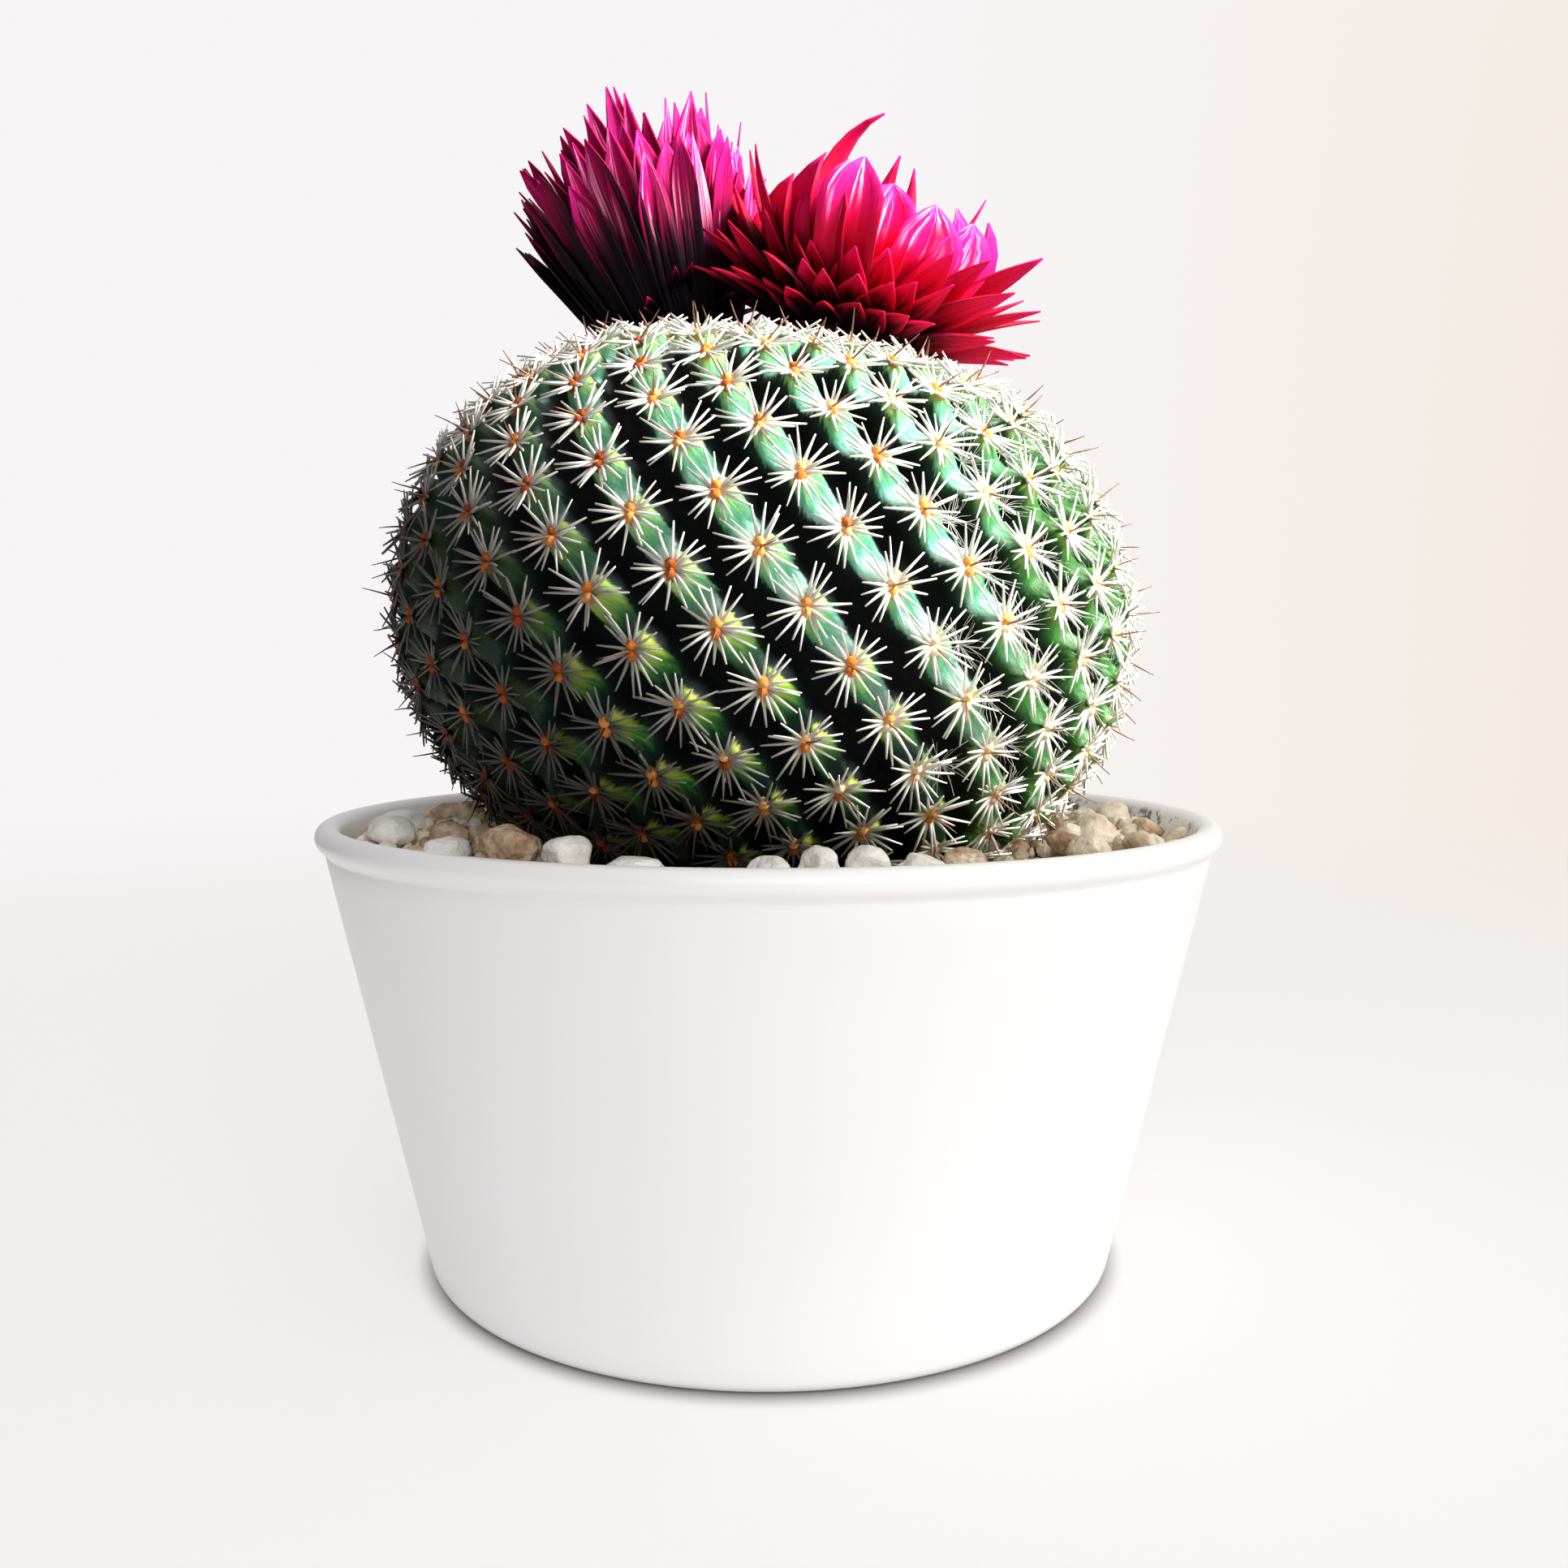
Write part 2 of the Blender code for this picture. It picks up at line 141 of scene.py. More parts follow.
def add(tree, kind, inputs=(), stops=(), **settings):
    """Adds a node, sets its properties, fills or links its inputs, and fills its colour ramp."""
    node = tree.nodes.new(kind)
    for name, value in settings.items():
        setattr(node, name, value)
    for key, value in dict(inputs).items():
        if isinstance(value, bpy.types.NodeSocket):
            tree.links.new(value, node.inputs[key])
        else:
            node.inputs[key].default_value = value
    if stops:
        elements = node.color_ramp.elements
        while len(elements) < len(stops):
            elements.new(1.0)
        for element, (place, colour) in zip(elements, stops):
            element.position = place
            element.color = linear(colour)
    return node


def calc(tree, operation, *values):
    """A maths node's result."""
    return add(tree, "ShaderNodeMath", dict(enumerate(values)), operation=operation).outputs[0]


def vector(tree, operation, *values):
    """A vector maths node's result, with a scale as the last value of SCALE."""
    inputs = dict(enumerate(values))
    if operation == "SCALE":
        inputs = {0: values[0], "Scale": values[1]}
    node = add(tree, "ShaderNodeVectorMath", inputs, operation=operation)
    return node.outputs["Value" if operation in ("DOT_PRODUCT", "LENGTH") else "Vector"]


def ranged(tree, value, low, high, start=0.0, end=1.0, easing="SMOOTHSTEP"):
    """A value carried from the range low to high over to the range start to end."""
    return add(tree, "ShaderNodeMapRange", {
        "Value": value, "From Min": low, "From Max": high, "To Min": start, "To Max": end},
        interpolation_type=easing).outputs[0]


def mixed(tree, factor, one, other):
    """A colour between two others."""
    return add(tree, "ShaderNodeMix", {0: factor, 6: one, 7: other}, data_type="RGBA").outputs[2]


def ramp(tree, value, *stops):
    """A colour read off a ramp of (place, colour) stops."""
    return add(tree, "ShaderNodeValToRGB", {"Fac": value}, stops=stops).outputs[0]


def cloud(tree, where, scale, detail, roughness=0.5):
    """Noise; scale is how many of its largest features fit in one unit of where."""
    return add(tree, "ShaderNodeTexNoise", {
        "Vector": where, "Scale": scale, "Detail": detail, "Roughness": roughness}).outputs["Fac"]


def stored(tree, name):
    """A number that the mesh holds for each of its points."""
    return add(tree, "ShaderNodeAttribute", attribute_name=name).outputs["Fac"]


def place_on(tree):
    """The place on the object, in metres."""
    return add(tree, "ShaderNodeTexCoord").outputs["Object"]


def here_in(tree):
    """The place on the object and its three parts."""
    place_in = place_on(tree)
    return place_in, add(tree, "ShaderNodeSeparateXYZ", {"Vector": place_in}).outputs


def coloured(tree, shader, colour):
    """Gives the shader its colour."""
    tree.links.new(colour, shader.inputs["Base Color"])


def bumped(tree, shader, height, strength, distance, invert=False):
    """Gives the shader a relief."""
    bump = add(tree, "ShaderNodeBump", {
        "Height": height, "Strength": strength, "Distance": distance}, invert=invert)
    tree.links.new(bump.outputs[0], shader.inputs["Normal"])


def new_material(name, **uniform):
    """A material with its Principled shader's sockets set; returns it, its tree and its shader."""
    material = bpy.data.materials.new(name)
    material.use_nodes = True
    tree = material.node_tree
    shader = tree.nodes["Principled BSDF"]
    for key, value in uniform.items():
        shader.inputs[key.replace("_", " ")].default_value = value
    return material, tree, shader


def mesh_object(name, points, faces, material, smooth=True, matrix=None):
    """A mesh object at the origin from points in millimetres."""
    coords = np.asarray(points, dtype=float)
    if matrix is not None:
        turn = np.array(matrix.to_3x3())
        coords = coords @ turn.T + np.array(matrix.translation)
    mesh = bpy.data.meshes.new(name)
    mesh.from_pydata((coords * MM).tolist(), [], faces)
    mesh.materials.append(material)
    if smooth:
        mesh.shade_smooth()
    mesh.update()
    made = bpy.data.objects.new(name, mesh)
    bpy.context.collection.objects.link(made)
    return made


def give(obj, name, values):
    """Stores one number per vertex."""
    layer = obj.data.attributes.new(name, "FLOAT", "POINT")
    layer.data.foreach_set("value", np.asarray(values, dtype=np.float32))


def place(obj, slot, *nodes):
    """Hangs a finished piece on the row's one body and hides the parts that it stands for."""
    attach(obj, "root")
    if nodes:
        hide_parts(*nodes)


def lathe(profile, steps):
    """Points and faces turned about Z from (radius, height) pairs that start and end on the axis."""
    points, rings = [], []
    for radius, height in profile:
        if radius < 1e-6:
            rings.append([len(points)] * steps)
            points.append((0.0, 0.0, height))
            continue
        rings.append([len(points) + k for k in range(steps)])
        for k in range(steps):
            turn = 2 * math.pi * k / steps
            points.append((radius * math.cos(turn), radius * math.sin(turn), height))
    faces = []
    for low, high in zip(rings, rings[1:]):
        for k in range(steps):
            j = (k + 1) % steps
            corners = [low[k], low[j], high[j], high[k]]
            face = [c for i, c in enumerate(corners) if c not in corners[:i]]
            if len(face) > 2:
                faces.append(face)
    return points, faces


def arc(centre, radius, start, end, count):
    """(radius, height) pairs on a circle between two angles in degrees."""
    turns = [math.radians(start + (end - start) * i / count) for i in range(count + 1)]
    return [(centre[0] + radius * math.cos(a), centre[1] + radius * math.sin(a)) for a in turns]


# Materials ---------------------------------------------------------------------------------------

def glazed_stoneware():
    """White glazed stoneware: satin, a hair uneven, with soil dust on the wall above the gravel."""
    material, tree, shader = new_material("white_glazed_stoneware", Roughness=0.28, IOR=1.5)
    place_in, axes = here_in(tree)
    glaze = ramp(tree, cloud(tree, place_in, 22.0, 3.0), (0.3, "#F1F0F0"), (0.7, "#F6F6F7"))
    # Soil sticks to the inner wall in flecks, mostly on the right, between gravel and lip.
    side = ranged(tree, axes["X"], 0.012, 0.032, easing="LINEAR")
    flecks = cloud(tree, place_in, 900.0, 4.0, 0.7)
    both = calc(tree, "MULTIPLY", flecks, cloud(tree, place_in, 130.0, 2.0))
    mask = ranged(tree, both, 0.26, 0.30, easing="LINEAR")
    for part in (stored(tree, "inner_wall"), side):
        mask = calc(tree, "MULTIPLY", mask, part)
    coloured(tree, shader, mixed(tree, mask, glaze, linear("#3A2A20")))
    bumped(tree, shader, cloud(tree, place_in, 60.0, 2.0), 0.05, 0.0006)
    return material


def cactus_skin():
    """Living cactus skin: painted shade makes it near-black in the furrows, with leaf-shaped ridges
    that go from yellow-green at their areole to mint bloom at the next one, in streaks that fan out.
    The bloom, with a near-white painted sheen, is on the upper tubercles; painted shade darkens the
    side away from the window, and the other side is green."""
    material, tree, shader = new_material("waxy_cactus_skin", IOR=1.45, Specular_IOR_Level=0.3)
    place_in, axes = here_in(tree)
    crest = stored(tree, "crest")
    uneven = calc(tree, "SUBTRACT", cloud(tree, place_in, 260.0, 3.0), 0.5)
    rays = add(tree, "ShaderNodeCombineXYZ", {
        0: calc(tree, "MULTIPLY", stored(tree, "fan"), 5.5),
        1: calc(tree, "MULTIPLY", stored(tree, "reach"), 0.22),
        2: calc(tree, "MULTIPLY", stored(tree, "own"), 60.0)}).outputs[0]
    streaks = cloud(tree, rays, 1.0, 4.0, 0.6)
    streak = calc(tree, "SUBTRACT", streaks, 0.5)
    # Painted shade: the furrows are near black, and the flanks on the side away from the window (low
    # X) take the darker shaded ramp.
    level = calc(tree, "MULTIPLY_ADD", uneven, 0.6, crest)
    shaded = ramp(tree, level, (0.20, "#04080C"), (0.55, "#061416"), (0.95, "#0A2822"))
    sunny = ramp(tree, level, (0.20, "#06140D"), (0.50, "#10301A"), (0.75, "#235A26"),
                 (1.0, "#4C8A3C"))
    flank = mixed(tree, ranged(tree, axes["X"], 0.010, 0.026), shaded, sunny)
    # Flat tops of the ridges.
    spot = calc(tree, "MULTIPLY_ADD", streak, 0.9, stored(tree, "along"))
    # The mint bloom is partly the skin's own waxy bloom and partly a painted sheen, near white at
    # its brightest.
    bloom_and_sheen = ramp(tree, spot, (0.0, "#C8E478"), (0.20, "#7CC080"), (0.42, "#58AE90"),
                   (0.66, "#B4E6D6"), (0.90, "#F0FCF8"))
    plain = ramp(tree, spot, (0.05, "#E2F06A"), (0.28, "#A0D044"), (0.46, "#3C8C38"),
                 (0.66, "#0E3A2A"), (0.95, "#061C1C"))
    green = ramp(tree, spot, (0.0, "#9CC85A"), (0.30, "#3C8030"), (0.70, "#27641F"),
                 (1.0, "#8CC488"))
    # The bloom with its painted sheen reaches lower on the right, and ends where the greener flank
    # begins.
    bloom_and_sheen_mask = ranged(tree, calc(tree, "MULTIPLY_ADD", axes["X"], 0.4, axes["Z"]), 0.063, 0.078)
    top = mixed(tree, bloom_and_sheen_mask, plain, bloom_and_sheen)
    top = mixed(tree, ranged(tree, axes["X"], 0.015, 0.025), top, green)
    # Painted shade: the ridges' tops fade out on the side away from the window.
    edge = calc(tree, "MULTIPLY_ADD", streak, 1.3, stored(tree, "facet"))
    lit = calc(tree, "MULTIPLY_ADD", axes["Z"], 0.12, axes["X"])
    cover = calc(tree, "MULTIPLY", ranged(tree, edge, 0.25, 0.75),
                 ranged(tree, lit, -0.016, 0.001, 0.04))
    coloured(tree, shader, mixed(tree, cover, flank, top))
    tree.links.new(ranged(tree, crest, 0.2, 0.9, 0.85, 0.45), shader.inputs["Roughness"])
    pores = calc(tree, "MULTIPLY_ADD", streaks, 0.8, cloud(tree, place_in, 1100.0, 4.0, 0.65))
    bumped(tree, shader, pores, 0.5, 0.0003)
    return material


def bristle_finish(name, root, middle, tip, roughness):
    """Dry spine or wool: its colour runs from root to tip, with painted shade away from the window.
    """
    material, tree, shader = new_material(name, Roughness=roughness, IOR=1.5)
    place_in = place_on(tree)
    colour = ramp(tree, stored(tree, "along"), (0.0, root), (0.3, middle), (0.82, middle),
                  (1.0, tip))
    tone = ranged(tree, stored(tree, "own"), 0.0, 1.0, 0.78, 1.0, "LINEAR")
    # Painted shade: the spines are darker away from the window, most of all low down.
    away = vector(tree, "DOT_PRODUCT", place_in, (1.0, 0.0, 1.0))
    painted_shade = ranged(tree, away, 0.042, 0.072, 0.12)
    shade = add(tree, "ShaderNodeHueSaturation", {
        "Value": calc(tree, "MULTIPLY", tone, painted_shade), "Color": colour})
    coloured(tree, shader, shade.outputs[0])
    return material


def areole_felt():
    """Felted areole: rust-brown wool, with painted light turning it cream on the side of the window.
    """
    material, tree, shader = new_material("areole_felt", Roughness=0.9)
    place_in, axes = here_in(tree)
    fuzz = cloud(tree, place_in, 2200.0, 3.0)
    tone = calc(tree, "MULTIPLY_ADD", fuzz, 0.55, stored(tree, "own"))
    # Painted light: the felt is paler towards the window side (+X) and rust-brown away from it.
    window_lit_level = calc(tree, "MULTIPLY_ADD", axes["X"], 12.0, tone)
    colour = ramp(tree, window_lit_level, (0.2, "#98400E"), (0.42, "#D67422"), (0.66, "#F2AE5A"),
                  (0.92, "#FAE6C0"))
    coloured(tree, shader, colour)
    bumped(tree, shader, fuzz, 0.8, 0.0002)
    return material


def dried_bract(name, stops, lit_shift, highlight_lit_range, highlight_from, dullest):
    """Dried strawflower bract: papery, veined along its length. It is dark at its root, with painted
    shade on the side away from the key light, painted light on the side facing it, and painted
    pinkish white highlight streaks there."""
    material, tree, shader = new_material(name, Roughness=0.55, IOR=1.5, Specular_IOR_Level=0.10)
    blade = add(tree, "ShaderNodeUVMap", uv_map="blade").outputs[0]
    up_blade = add(tree, "ShaderNodeSeparateXYZ", {"Vector": blade}).outputs["Y"]
    own, sun = stored(tree, "own"), stored(tree, "sun")
    # Veins: noise pulled out along the blade, a different one on each bract.
    shift = add(tree, "ShaderNodeCombineXYZ", {0: own, 1: own, 2: own}).outputs[0]
    stretched = add(tree, "ShaderNodeMapping", {"Vector": blade, "Scale": (11.0, 1.2, 1.0)})
    far = vector(tree, "MULTIPLY", shift, (37.0, 37.0, 37.0))
    veins = cloud(tree, vector(tree, "ADD", stretched.outputs[0], far), 1.0, 4.0, 0.6)
    wobble = calc(tree, "SUBTRACT", veins, 0.5)
    along = calc(tree, "MULTIPLY_ADD", wobble, 0.62, up_blade)
    # Painted light and shade: a bract facing the key light reads higher on the colour ramp, one
    # facing away reads lower.
    level = calc(tree, "MULTIPLY_ADD", calc(tree, "SUBTRACT", sun, 0.3), lit_shift, along)
    shade = add(tree, "ShaderNodeHueSaturation", {
        "Value": ranged(tree, own, 0.0, 1.0, dullest, 1.08, "LINEAR"),
        "Color": ramp(tree, level, *stops)})
    # Painted highlight: pinkish white streaks on the veins, on bracts facing the key light and
    # towards their tips.
    painted_highlight = ranged(tree, veins, 0.50, 0.64)
    for value, low, high in ((sun, *highlight_lit_range), (up_blade, highlight_from, highlight_from + 0.25),
                             (own, 0.25, 0.55)):
        painted_highlight = calc(tree, "MULTIPLY", painted_highlight, ranged(tree, value, low, high))
    colour = mixed(tree, painted_highlight, shade.outputs[0], linear(HIGHLIGHT_PINK))
    coloured(tree, shader, colour)
    bumped(tree, shader, veins, 0.45, 0.0004)
    return material


def rock(name, dark, middle, pale, pores, roughness):
    """Broken stone: clouded colour, grainy, with pores."""
    material, tree, shader = new_material(name, Roughness=roughness)
    place_in = place_on(tree)
    colour = ramp(tree, cloud(tree, place_in, 280.0, 5.0, 0.65), (0.30, dark), (0.48, middle),
                  (0.66, pale))
    coloured(tree, shader, colour)
    pits = add(tree, "ShaderNodeTexVoronoi", {"Vector": place_in, "Scale": 1200.0})
    grit = cloud(tree, place_in, 2400.0, 3.0)
    bumped(tree, shader, calc(tree, "MULTIPLY_ADD", pits.outputs["Distance"], pores, grit),
           0.7, 0.0003)
    return material


def dry_wood():
    """The woody base of a dried flower head: dark, fine-grained."""
    material, tree, shader = new_material("dry_flower_base", Roughness=0.85)
    place_in = place_on(tree)
    colour = ramp(tree, cloud(tree, place_in, 700.0, 4.0), (0.35, "#1A0A0C"), (0.65, "#4A1A22"))
    coloured(tree, shader, colour)
    return material


def dry_florets():
    """A dome of dry florets: straw yellow, brown between them."""
    material, tree, shader = new_material("dry_florets", Roughness=0.85)
    place_in = place_on(tree)
    cells = add(tree, "ShaderNodeTexVoronoi", {"Vector": place_in, "Scale": 1300.0})
    colour = ramp(tree, cells.outputs["Distance"], (0.1, "#E0A030"), (0.6, "#7A3A10"))
    coloured(tree, shader, colour)
    bumped(tree, shader, cells.outputs["Distance"], 1.0, 0.0005, invert=True)
    return material


def damp_soil():
    """Damp potting soil: nearly black, with brown crumbs."""
    material, tree, shader = new_material("damp_potting_soil", Roughness=0.95)
    place_in = place_on(tree)
    crumbs = cloud(tree, place_in, 900.0, 6.0, 0.75)
    colour = ramp(tree, crumbs, (0.35, "#0B0807"), (0.6, "#2A1D16"), (0.75, "#5A4636"))
    coloured(tree, shader, colour)
    bumped(tree, shader, crumbs, 1.0, 0.0012)
    return material


# Pot ---------------------------------------------------------------------------------------------

def wall_radius(height):
    """The outer radius of the pot's wall at a height."""
    return HEEL_RADIUS + WALL_FLARE * height


def make_pot(material):
    """The pot, turned in one piece: recessed foot, round heel, flared wall and rolled lip."""
    bead = (RIM_RADIUS - LIP_BEAD, RIM_HEIGHT - LIP_BEAD)
    lip_inner = wall_radius(RIM_HEIGHT) - WALL + LIP_BEAD
    heel = (wall_radius(HEEL_ROUND) - HEEL_ROUND, HEEL_ROUND)
    profile = [(0.0, FOOT_RECESS), (FOOT_INNER - 1.4, FOOT_RECESS)]
    profile += [(FOOT_INNER - 0.9, FOOT_RECESS - 0.15), (FOOT_INNER - 0.3, 0.12), (FOOT_INNER, 0.0)]
    profile += arc(heel, HEEL_ROUND, -90, -12, 12)
    heights = [HEEL_ROUND + (RIM_HEIGHT - 4.2 * LIP_BEAD - HEEL_ROUND) * i / 8 for i in range(1, 9)]
    profile += [(wall_radius(h), h) for h in heights]
    profile += arc((wall_radius(RIM_HEIGHT - 2.5 * LIP_BEAD) + 0.45, RIM_HEIGHT - 2.35 * LIP_BEAD),
                   0.5, 200, 130, 3)
    profile += arc(bead, LIP_BEAD, -62, 90, 14)
    profile += arc((lip_inner, bead[1]), LIP_BEAD, 90, 168, 8)
    low = POT_FLOOR + 3.0
    profile += [(wall_radius(h) - WALL, h) for h in (44.0, 36.0, 24.0, 12.0, low)]
    profile += [(wall_radius(low) - WALL - 1.2, POT_FLOOR + 0.8)]
    profile += [(wall_radius(POT_FLOOR) - WALL - 2.6, POT_FLOOR), (0.0, POT_FLOOR)]
    points, faces = lathe(profile, POT_STEPS)
    pot = mesh_object("white_pot", points, faces, material)
    inner_wall = []
    for x, y, z in points:
        inside = z > 40 and math.hypot(x, y) < wall_radius(z) - 1
        inner_wall.append(min(1, max(0, (RIM_HEIGHT - 0.4 - z) / 0.8)) if inside else 0)
    give(pot, "inner_wall", inner_wall)
    pot.data.set_sharp_from_angle(angle=math.radians(50))
    place(pot, "pot_glaze", "pot")


# Cactus ------------------------------------------------------------------------------------------

def on_globe(latitude, azimuth):
    """Points on the upright globe in millimetres; azimuth 0 faces the front and runs right.

    The crown is flatter than the globe: it sinks more and more above CROWN_START."""
    radius = GLOBE_RADIUS * np.cos(latitude)
    high = np.maximum(0, np.sin(latitude) - CROWN_START) / (1 - CROWN_START)
    height = GLOBE_HALF_HEIGHT * np.sin(latitude) - CROWN_SINK * high ** 2
    return np.stack([radius * np.sin(azimuth), -radius * np.cos(azimuth), height], axis=-1)


def outward(latitude, azimuth):
    """Unit normals of the globe and its flattened crown."""
    high = np.maximum(0, np.sin(latitude) - CROWN_START) / (1 - CROWN_START)
    rise = GLOBE_HALF_HEIGHT - 2 * CROWN_SINK * high / (1 - CROWN_START)
    flat = rise * np.cos(latitude)
    normals = np.stack([
        flat * np.sin(azimuth), -flat * np.cos(azimuth), GLOBE_RADIUS * np.sin(latitude)], axis=-1)
    return normals / np.linalg.norm(normals, axis=-1, keepdims=True)


def unit(vectors):
    """Vectors drawn out or cut to a length of one."""
    return vectors / np.maximum(np.linalg.norm(vectors, axis=-1, keepdims=True), 1e-9)


def areoles():
    """Places, outward directions, directions down the rib and distances to the next areole."""
    first = math.ceil((FIRST_LATITUDE - TOP_LATITUDE) / WHORL_STEP)
    last = math.floor((FIRST_LATITUDE - LOW_LATITUDE) / WHORL_STEP)
    levels = np.repeat(np.arange(first, last + 1), WHORL)
    fifth = np.tile(np.arange(WHORL), last + 1 - first)
    latitude = FIRST_LATITUDE - levels * WHORL_STEP
    azimuth = FIRST_AZIMUTH + levels * WHORL_TURN + fifth * 2 * math.pi / WHORL
    points = on_globe(latitude, azimuth)
    normals = outward(latitude, azimuth)
    below = on_globe(latitude - 0.2 * RIB_LEVELS * WHORL_STEP, azimuth + 0.2 * RIB_TURN)
    down = below - points
    down = unit(down - normals * np.sum(down * normals, axis=1, keepdims=True))
    following = on_globe(latitude - RIB_LEVELS * WHORL_STEP, azimuth + RIB_TURN)
    return points, normals, down, np.linalg.norm(following - points, axis=1)


def eased(values, low, high):
    """A smooth step from 0 at low to 1 at high."""
    share = np.clip((values - low) / (high - low), 0, 1)
    return share * share * (3 - 2 * share)


def ribs(points, areole_set):
    """Relief at points on the globe, one dictionary entry for each value.

    A leaf-shaped ridge runs from each areole to the next one down the rib. crest is 1 on a ridge
    and 0 in a furrow, facet is 1 on its flat top, along runs from 0 at its areole to 1 at the next,
    fan and reach are the direction and distance from its areole, and own is a random number."""
    places, normals, down, lengths = areole_set
    side = np.cross(normals, down)
    gap = np.linalg.norm(points[:, None, :] - places[None, :, :], axis=2)
    close = np.argpartition(gap, 8, axis=1)[:, :8]
    offset = points[:, None, :] - places[close]
    run = np.sum(offset * down[close], axis=2)
    across = np.sum(offset * side[close], axis=2)
    length = lengths[close]
    share = np.clip(run / length, 0, 1)
    beyond = np.maximum(0, -run) + np.maximum(0, run - length)
    half = (1.75 - 0.75 * share + 0.55 * np.sin(math.pi * share))
    half = half * (0.25 + 0.75 * length / RIB_SPACING)
    away = np.hypot(across - 0.2 * half, 0.9 * beyond) / half
    crest = np.sum((1 - eased(away, 0.60, 1.75)) ** 4, axis=1) ** 0.25
    nearest = np.argmin(away + 0.02 * share, axis=1)[:, None]

    def pick(values):
        return np.take_along_axis(values, nearest, axis=1)[:, 0]

    return {
        "crest": np.clip(crest, 0, 1), "facet": 1 - eased(pick(away), 0.62, 1.12),
        "along": pick(share), "fan": np.arctan2(pick(across), pick(run) + 0.6),
        "reach": np.hypot(pick(across), pick(run)),
        "own": (pick(close) * 0.618) % 1.0,
    }


def make_cactus(material, areole_set):
    """The globe with its spiral ridges, its sunken crown and its buried base."""
    columns = GLOBE_COLUMNS
    top = np.radians(np.linspace(89.0, 74.0, 14))
    middle = np.radians(np.linspace(74.0, -56.0, 198))[1:]
    base = np.radians(np.array([-58.0, -61.0, -65.0, -70.0, -76.0, -83.0]))
    rows = np.concatenate([top, middle, base])
    # The columns are closer together at the front.
    turn = np.linspace(0, 2 * math.pi, columns, endpoint=False)
    azimuth = turn - 0.25 * np.sin(turn)
    lat_grid, az_grid = [g.ravel() for g in np.meshgrid(rows, azimuth, indexing="ij")]
    shell = on_globe(lat_grid, az_grid)
    normals = outward(lat_grid, az_grid)
    parts = [ribs(shell[i:i + 8000], areole_set) for i in range(0, len(shell), 8000)]
    relief = {key: np.concatenate([part[key] for part in parts]) for key in parts[0]}
    # The crown is sunk, and the buried base is smooth.
    sunk = np.clip((np.degrees(lat_grid) - 76) / 12, 0, 1)
    buried = np.clip((-50 - np.degrees(lat_grid)) / 8, 0, 1)
    sag = RIB_SAG * np.sin(math.pi * relief["along"]) ** 2 * relief["crest"]
    height = (relief["crest"] - 1) * RIB_DEPTH - sag
    height = height * (1 - 0.6 * sunk) * (1 - 0.5 * buried)
    shell = shell + normals * (height - 1.8 * sunk ** 1.5)[:, None]
    points = np.vstack([shell, [
        [0, 0, GLOBE_HALF_HEIGHT - CROWN_SINK - 3.4], [0, 0, 0.6 - GLOBE_HALF_HEIGHT]]])
    crown, foot = len(points) - 2, len(points) - 1
    faces = []
    for i in range(len(rows) - 1):
        for k in range(columns):
            j = (k + 1) % columns
            low, high = (i + 1) * columns, i * columns
            faces.append((low + k, low + j, high + j, high + k))
    last = (len(rows) - 1) * columns
    for k in range(columns):
        j = (k + 1) % columns
        faces.append((crown, k, j))
        faces.append((foot, last + j, last + k))
    body = mesh_object("cactus_flesh", points, faces, material, matrix=GLOBE_MATRIX)
    for name, values in relief.items():
        give(body, name, np.append(values, [0, 0]))
    place(body, "cactus_skin", "cactus_body")


def in_world(points, directions=()):
    """Globe points and directions turned to where the cactus stands."""
    turn = np.array(GLOBE_MATRIX.to_3x3())
    moved = points @ turn.T + np.array(GLOBE_MATRIX.translation)
    return [moved] + [d @ turn.T for d in directions]


def growth_tree(name, inputs):
    """A new geometry node tree; returns it and its inputs, with the geometry as the first."""
    tree = bpy.data.node_groups.new(name, "GeometryNodeTree")
    face = tree.interface
    face.new_socket("Geometry", in_out="OUTPUT", socket_type="NodeSocketGeometry")
    for title, kind in (("Geometry", "Geometry"), *inputs):
        face.new_socket(title, in_out="INPUT", socket_type="NodeSocket" + kind)
    return tree, add(tree, "NodeGroupInput").outputs


def drawn(tree, seed, offset, low, high, kind="FLOAT"):
    """A random value between two others; each offset to the seed gives another draw."""
    first = 0 if kind == "FLOAT_VECTOR" else 2
    node = add(tree, "FunctionNodeRandomValue", {
        first: low, first + 1: high, "Seed": calc(tree, "ADD", seed, offset)}, data_type=kind)
    return node.outputs[first // 2]


def between(tree, angle, start, end):
    """The direction at an angle from one direction towards another that is square to it."""
    parts = [vector(tree, "SCALE", way, calc(tree, wave, angle))
             for wave, way in (("COSINE", start), ("SINE", end))]
    return vector(tree, "ADD", *parts)


def marked(tree, geometry, name, value, domain):
    """Geometry with one number stored on each of its points or copies."""
    return add(tree, "GeometryNodeStoreNamedAttribute", {
        "Geometry": geometry, "Name": name, "Value": value}, data_type="FLOAT",
        domain=domain).outputs[0]


def strewn(tree, points, instance, turn, size, own):
    """A copy on every point, made real, with a number of its own."""
    copies = add(tree, "GeometryNodeInstanceOnPoints", {
        "Points": points, "Instance": instance, "Rotation": turn, "Scale": size}).outputs[0]
    own_marked = marked(tree, copies, "own", own, "INSTANCE")
    return add(tree, "GeometryNodeRealizeInstances", {"Geometry": own_marked}).outputs[0]


def painted(tree, geometry, finish):
    """Ends a tree: the geometry gets its material and is handed out."""
    last = add(tree, "GeometryNodeSetMaterial", {"Geometry": geometry, "Material": finish})
    add(tree, "NodeGroupOutput", {0: last.outputs[0]})
    return tree


